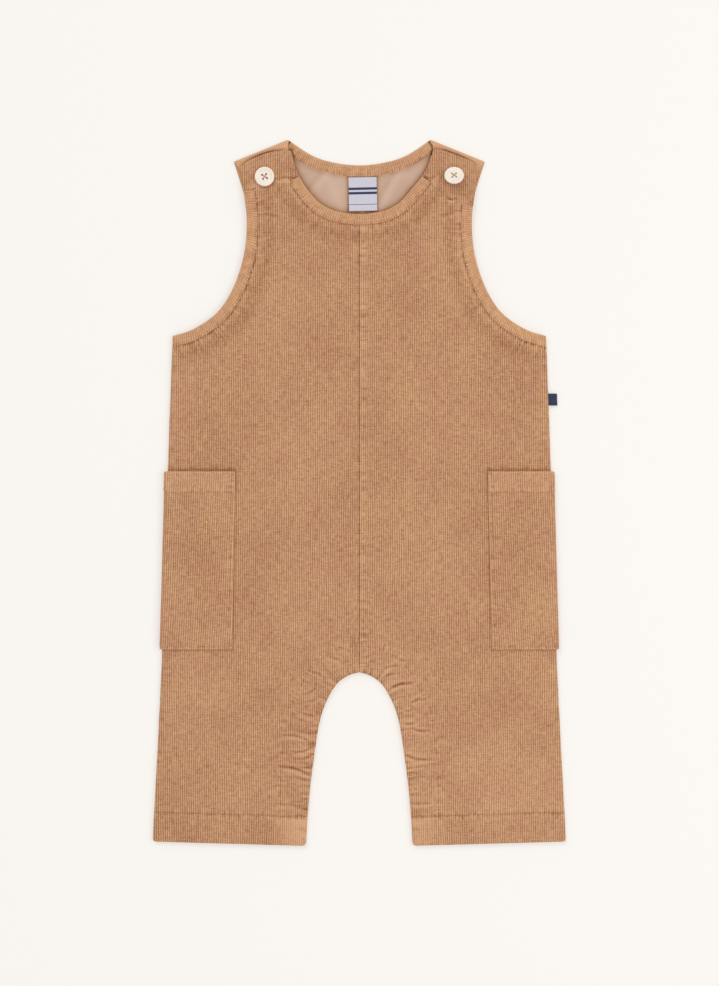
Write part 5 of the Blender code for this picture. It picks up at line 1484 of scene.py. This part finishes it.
class SewingOperator(bpy.types.Operator):
    """Builds the rows of stitches"""
    bl_idname = "jumpsuit.sewing"
    bl_label = "Sewing"

    def execute(self, context):
        held = sizes()
        thread = spun_thread("spun sewing thread", context.scene.jumpsuit_colours.thread)
        for name, rows in (("band_stitches", self.bands), ("leg_stitches", self.legs),
                           ("pocket_stitches", self.pockets)):
            bm = bmesh.new()
            for side, turned in (("left", mirror_line), ("right", np.array)):
                for line, height in rows(side):
                    add_stitches(bm, turned(line), height, held)
            declare(link_piece(name, mesh_of(bm, name), thread), ())
        return {"FINISHED"}

    def between(self, lines, share):
        """The line at a share of the way from a band's free edge to its seam."""
        steps = np.linspace(0.0, 1.0, 120)
        edge, seam = (at(line, steps * distances(line)[-1]) for line in lines)
        return edge * (1.0 - share) + seam * share

    def bands(self, side):
        def on_front(x, y):
            return front_band_level(x, y)[0] + BAND_STITCH_RISE * BAND_THICKNESS

        def on_back(share):
            return lambda x, y: back_neck_level(x, y)[1] * share

        arm = self.between(front_arm_lines(side, 0.8), BAND_STITCH)
        back = back_neck_lines(side, 12.0)
        return [(self.between(front_neck_lines(side, 0.8), BAND_STITCH), on_front),
                (stretch(arm, 3.0, distances(arm)[-1]), on_front),
                *[(self.between(back, row.share), on_back(row.rise)) for row in BACK_NECK_ROWS]]

    def legs(self, side):
        x = np.linspace(43.0, 155.0, 90)
        hem = hem_line(x) + HEM_DEPTH + 0.4 + 0.5 * uneven_wave(x, 31.0, SEEDS[side])
        facing = smooth_line(FACING, mirror_end=True)
        return ((np.stack([x, hem], axis=1), HEM_STITCH_HEIGHT),
                (stretch(facing, 3.0, distances(facing)[-1] - 1.0), FACING_STITCH_HEIGHT))

    def pockets(self, side):
        seam = side_seam()
        low, high = width_at(POCKET_INNER[side], np.array([POCKET_LOW, POCKET_HIGH]))
        outer = np.interp(POCKET_LOW, seam[:, 1], seam[:, 0]) - 1.0
        edge = np.array([(high + 1.8, POCKET_HIGH - 1.0), (low + 1.8, POCKET_LOW + 1.8),
                         (outer, POCKET_LOW + 1.8)])
        x = np.linspace(high + 3.0, outer - 2.0, 60)
        across = 2.0 * (outer - high) - (x - high)
        hem = POCKET_HIGH - POCKET_HEM + 0.5 * uneven_wave(across, 23.0, 0.3) - 0.4
        return ((edge, POCKET_STITCH_HEIGHT),
                (np.stack([x, hem], axis=1), POCKET_HEM_STITCH_HEIGHT))


class StageOperator(bpy.types.Operator):
    """Lays the floor and sets the lights and the camera, which looks straight down"""
    bl_idname = "jumpsuit.stage"
    bl_label = "Floor, lights and camera"

    floor_half = 4.0
    floor_drop = 0.0002         # keeps the table clear of the cloth
    floor_glow = 0.45           # share of the table's brightness that is its own light
    sky_light = 0.66
    lens = 85.0
    frame_height = 0.7553
    focus_height = 0.005
    camera_x = 0.00015
    camera_y = -0.00035

    def execute(self, context):
        self.floor(context.scene.jumpsuit_colours.floor)
        self.world(context.scene)
        self.light("softbox over the neck", (-2.6, 3.8, 5.6), 2.6, 110.0)
        self.light("fill from the right", (1.3, -0.2, 2.0), 1.5, 15.0)
        self.camera(context.scene)
        context.scene.view_settings.view_transform = "Standard"
        return {"FINISHED"}

    def floor(self, colour_hex):
        bm = bmesh.new()
        bmesh.ops.create_grid(bm, x_segments=8, y_segments=8, size=self.floor_half)
        bmesh.ops.translate(bm, verts=bm.verts, vec=(0.0, 0.0, -self.floor_drop))
        opal = opal_table("opal acrylic", colour_hex, self.floor_glow)
        link_piece("floor", mesh_of(bm, "floor"), opal)

    def world(self, scene):
        scene.world = bpy.data.worlds.new("studio")
        scene.world.use_nodes = True
        background = scene.world.node_tree.nodes["Background"]
        background.inputs["Color"].default_value = (1.0, 0.995, 0.985, 1.0)
        background.inputs["Strength"].default_value = self.sky_light

    def light(self, name, place, size, power):
        lamp = bpy.data.lights.new(name, "AREA")
        lamp.shape = "SQUARE"
        lamp.size = size
        lamp.energy = power
        lamp.color = (1.0, 0.985, 0.965)
        thing = link(name, lamp)
        thing.location = place
        thing.rotation_euler = (-Vector(place)).to_track_quat("-Z", "Y").to_euler()

    def camera(self, scene):
        data = bpy.data.cameras.new("camera")
        data.lens = self.lens
        scene.camera = link("camera", data)
        distance = self.frame_height * self.lens / data.sensor_width
        scene.camera.location = (self.camera_x, self.camera_y, distance + self.focus_height)


# ================ add-on ================
class JumpsuitPanel(bpy.types.Panel):
    """Lists the jumpsuit's pieces, sizes and colours"""
    bl_idname = "VIEW3D_PT_jumpsuit"
    bl_label = "Jumpsuit"
    bl_space_type = "VIEW_3D"
    bl_region_type = "UI"
    bl_category = "Jumpsuit"

    def draw(self, context):
        for group in (context.scene.jumpsuit_sizes, context.scene.jumpsuit_colours):
            box = self.layout.box()
            for name in group.__annotations__:
                box.prop(group, name)
        for operator in OPERATORS:
            self.layout.operator(operator.bl_idname)


OPERATORS = (PanelsOperator, BandsOperator, PocketsOperator, InsideOperator, ButtonsOperator,
             SewingOperator, StageOperator)
CLASSES = (JumpsuitSizes, JumpsuitColours, *OPERATORS, JumpsuitPanel)


def register():
    for cls in CLASSES:
        bpy.utils.register_class(cls)
    bpy.types.Scene.jumpsuit_sizes = bpy.props.PointerProperty(type=JumpsuitSizes)
    bpy.types.Scene.jumpsuit_colours = bpy.props.PointerProperty(type=JumpsuitColours)


def unregister():
    del bpy.types.Scene.jumpsuit_colours
    del bpy.types.Scene.jumpsuit_sizes
    for cls in reversed(CLASSES):
        bpy.utils.unregister_class(cls)


def main():
    register()
    bpy.ops.jumpsuit.panels()
    bpy.ops.jumpsuit.bands()
    bpy.ops.jumpsuit.pockets()
    bpy.ops.jumpsuit.inside()
    bpy.ops.jumpsuit.buttons()
    bpy.ops.jumpsuit.sewing()
    bpy.ops.jumpsuit.stage()


if __name__ == "__main__":
    main()
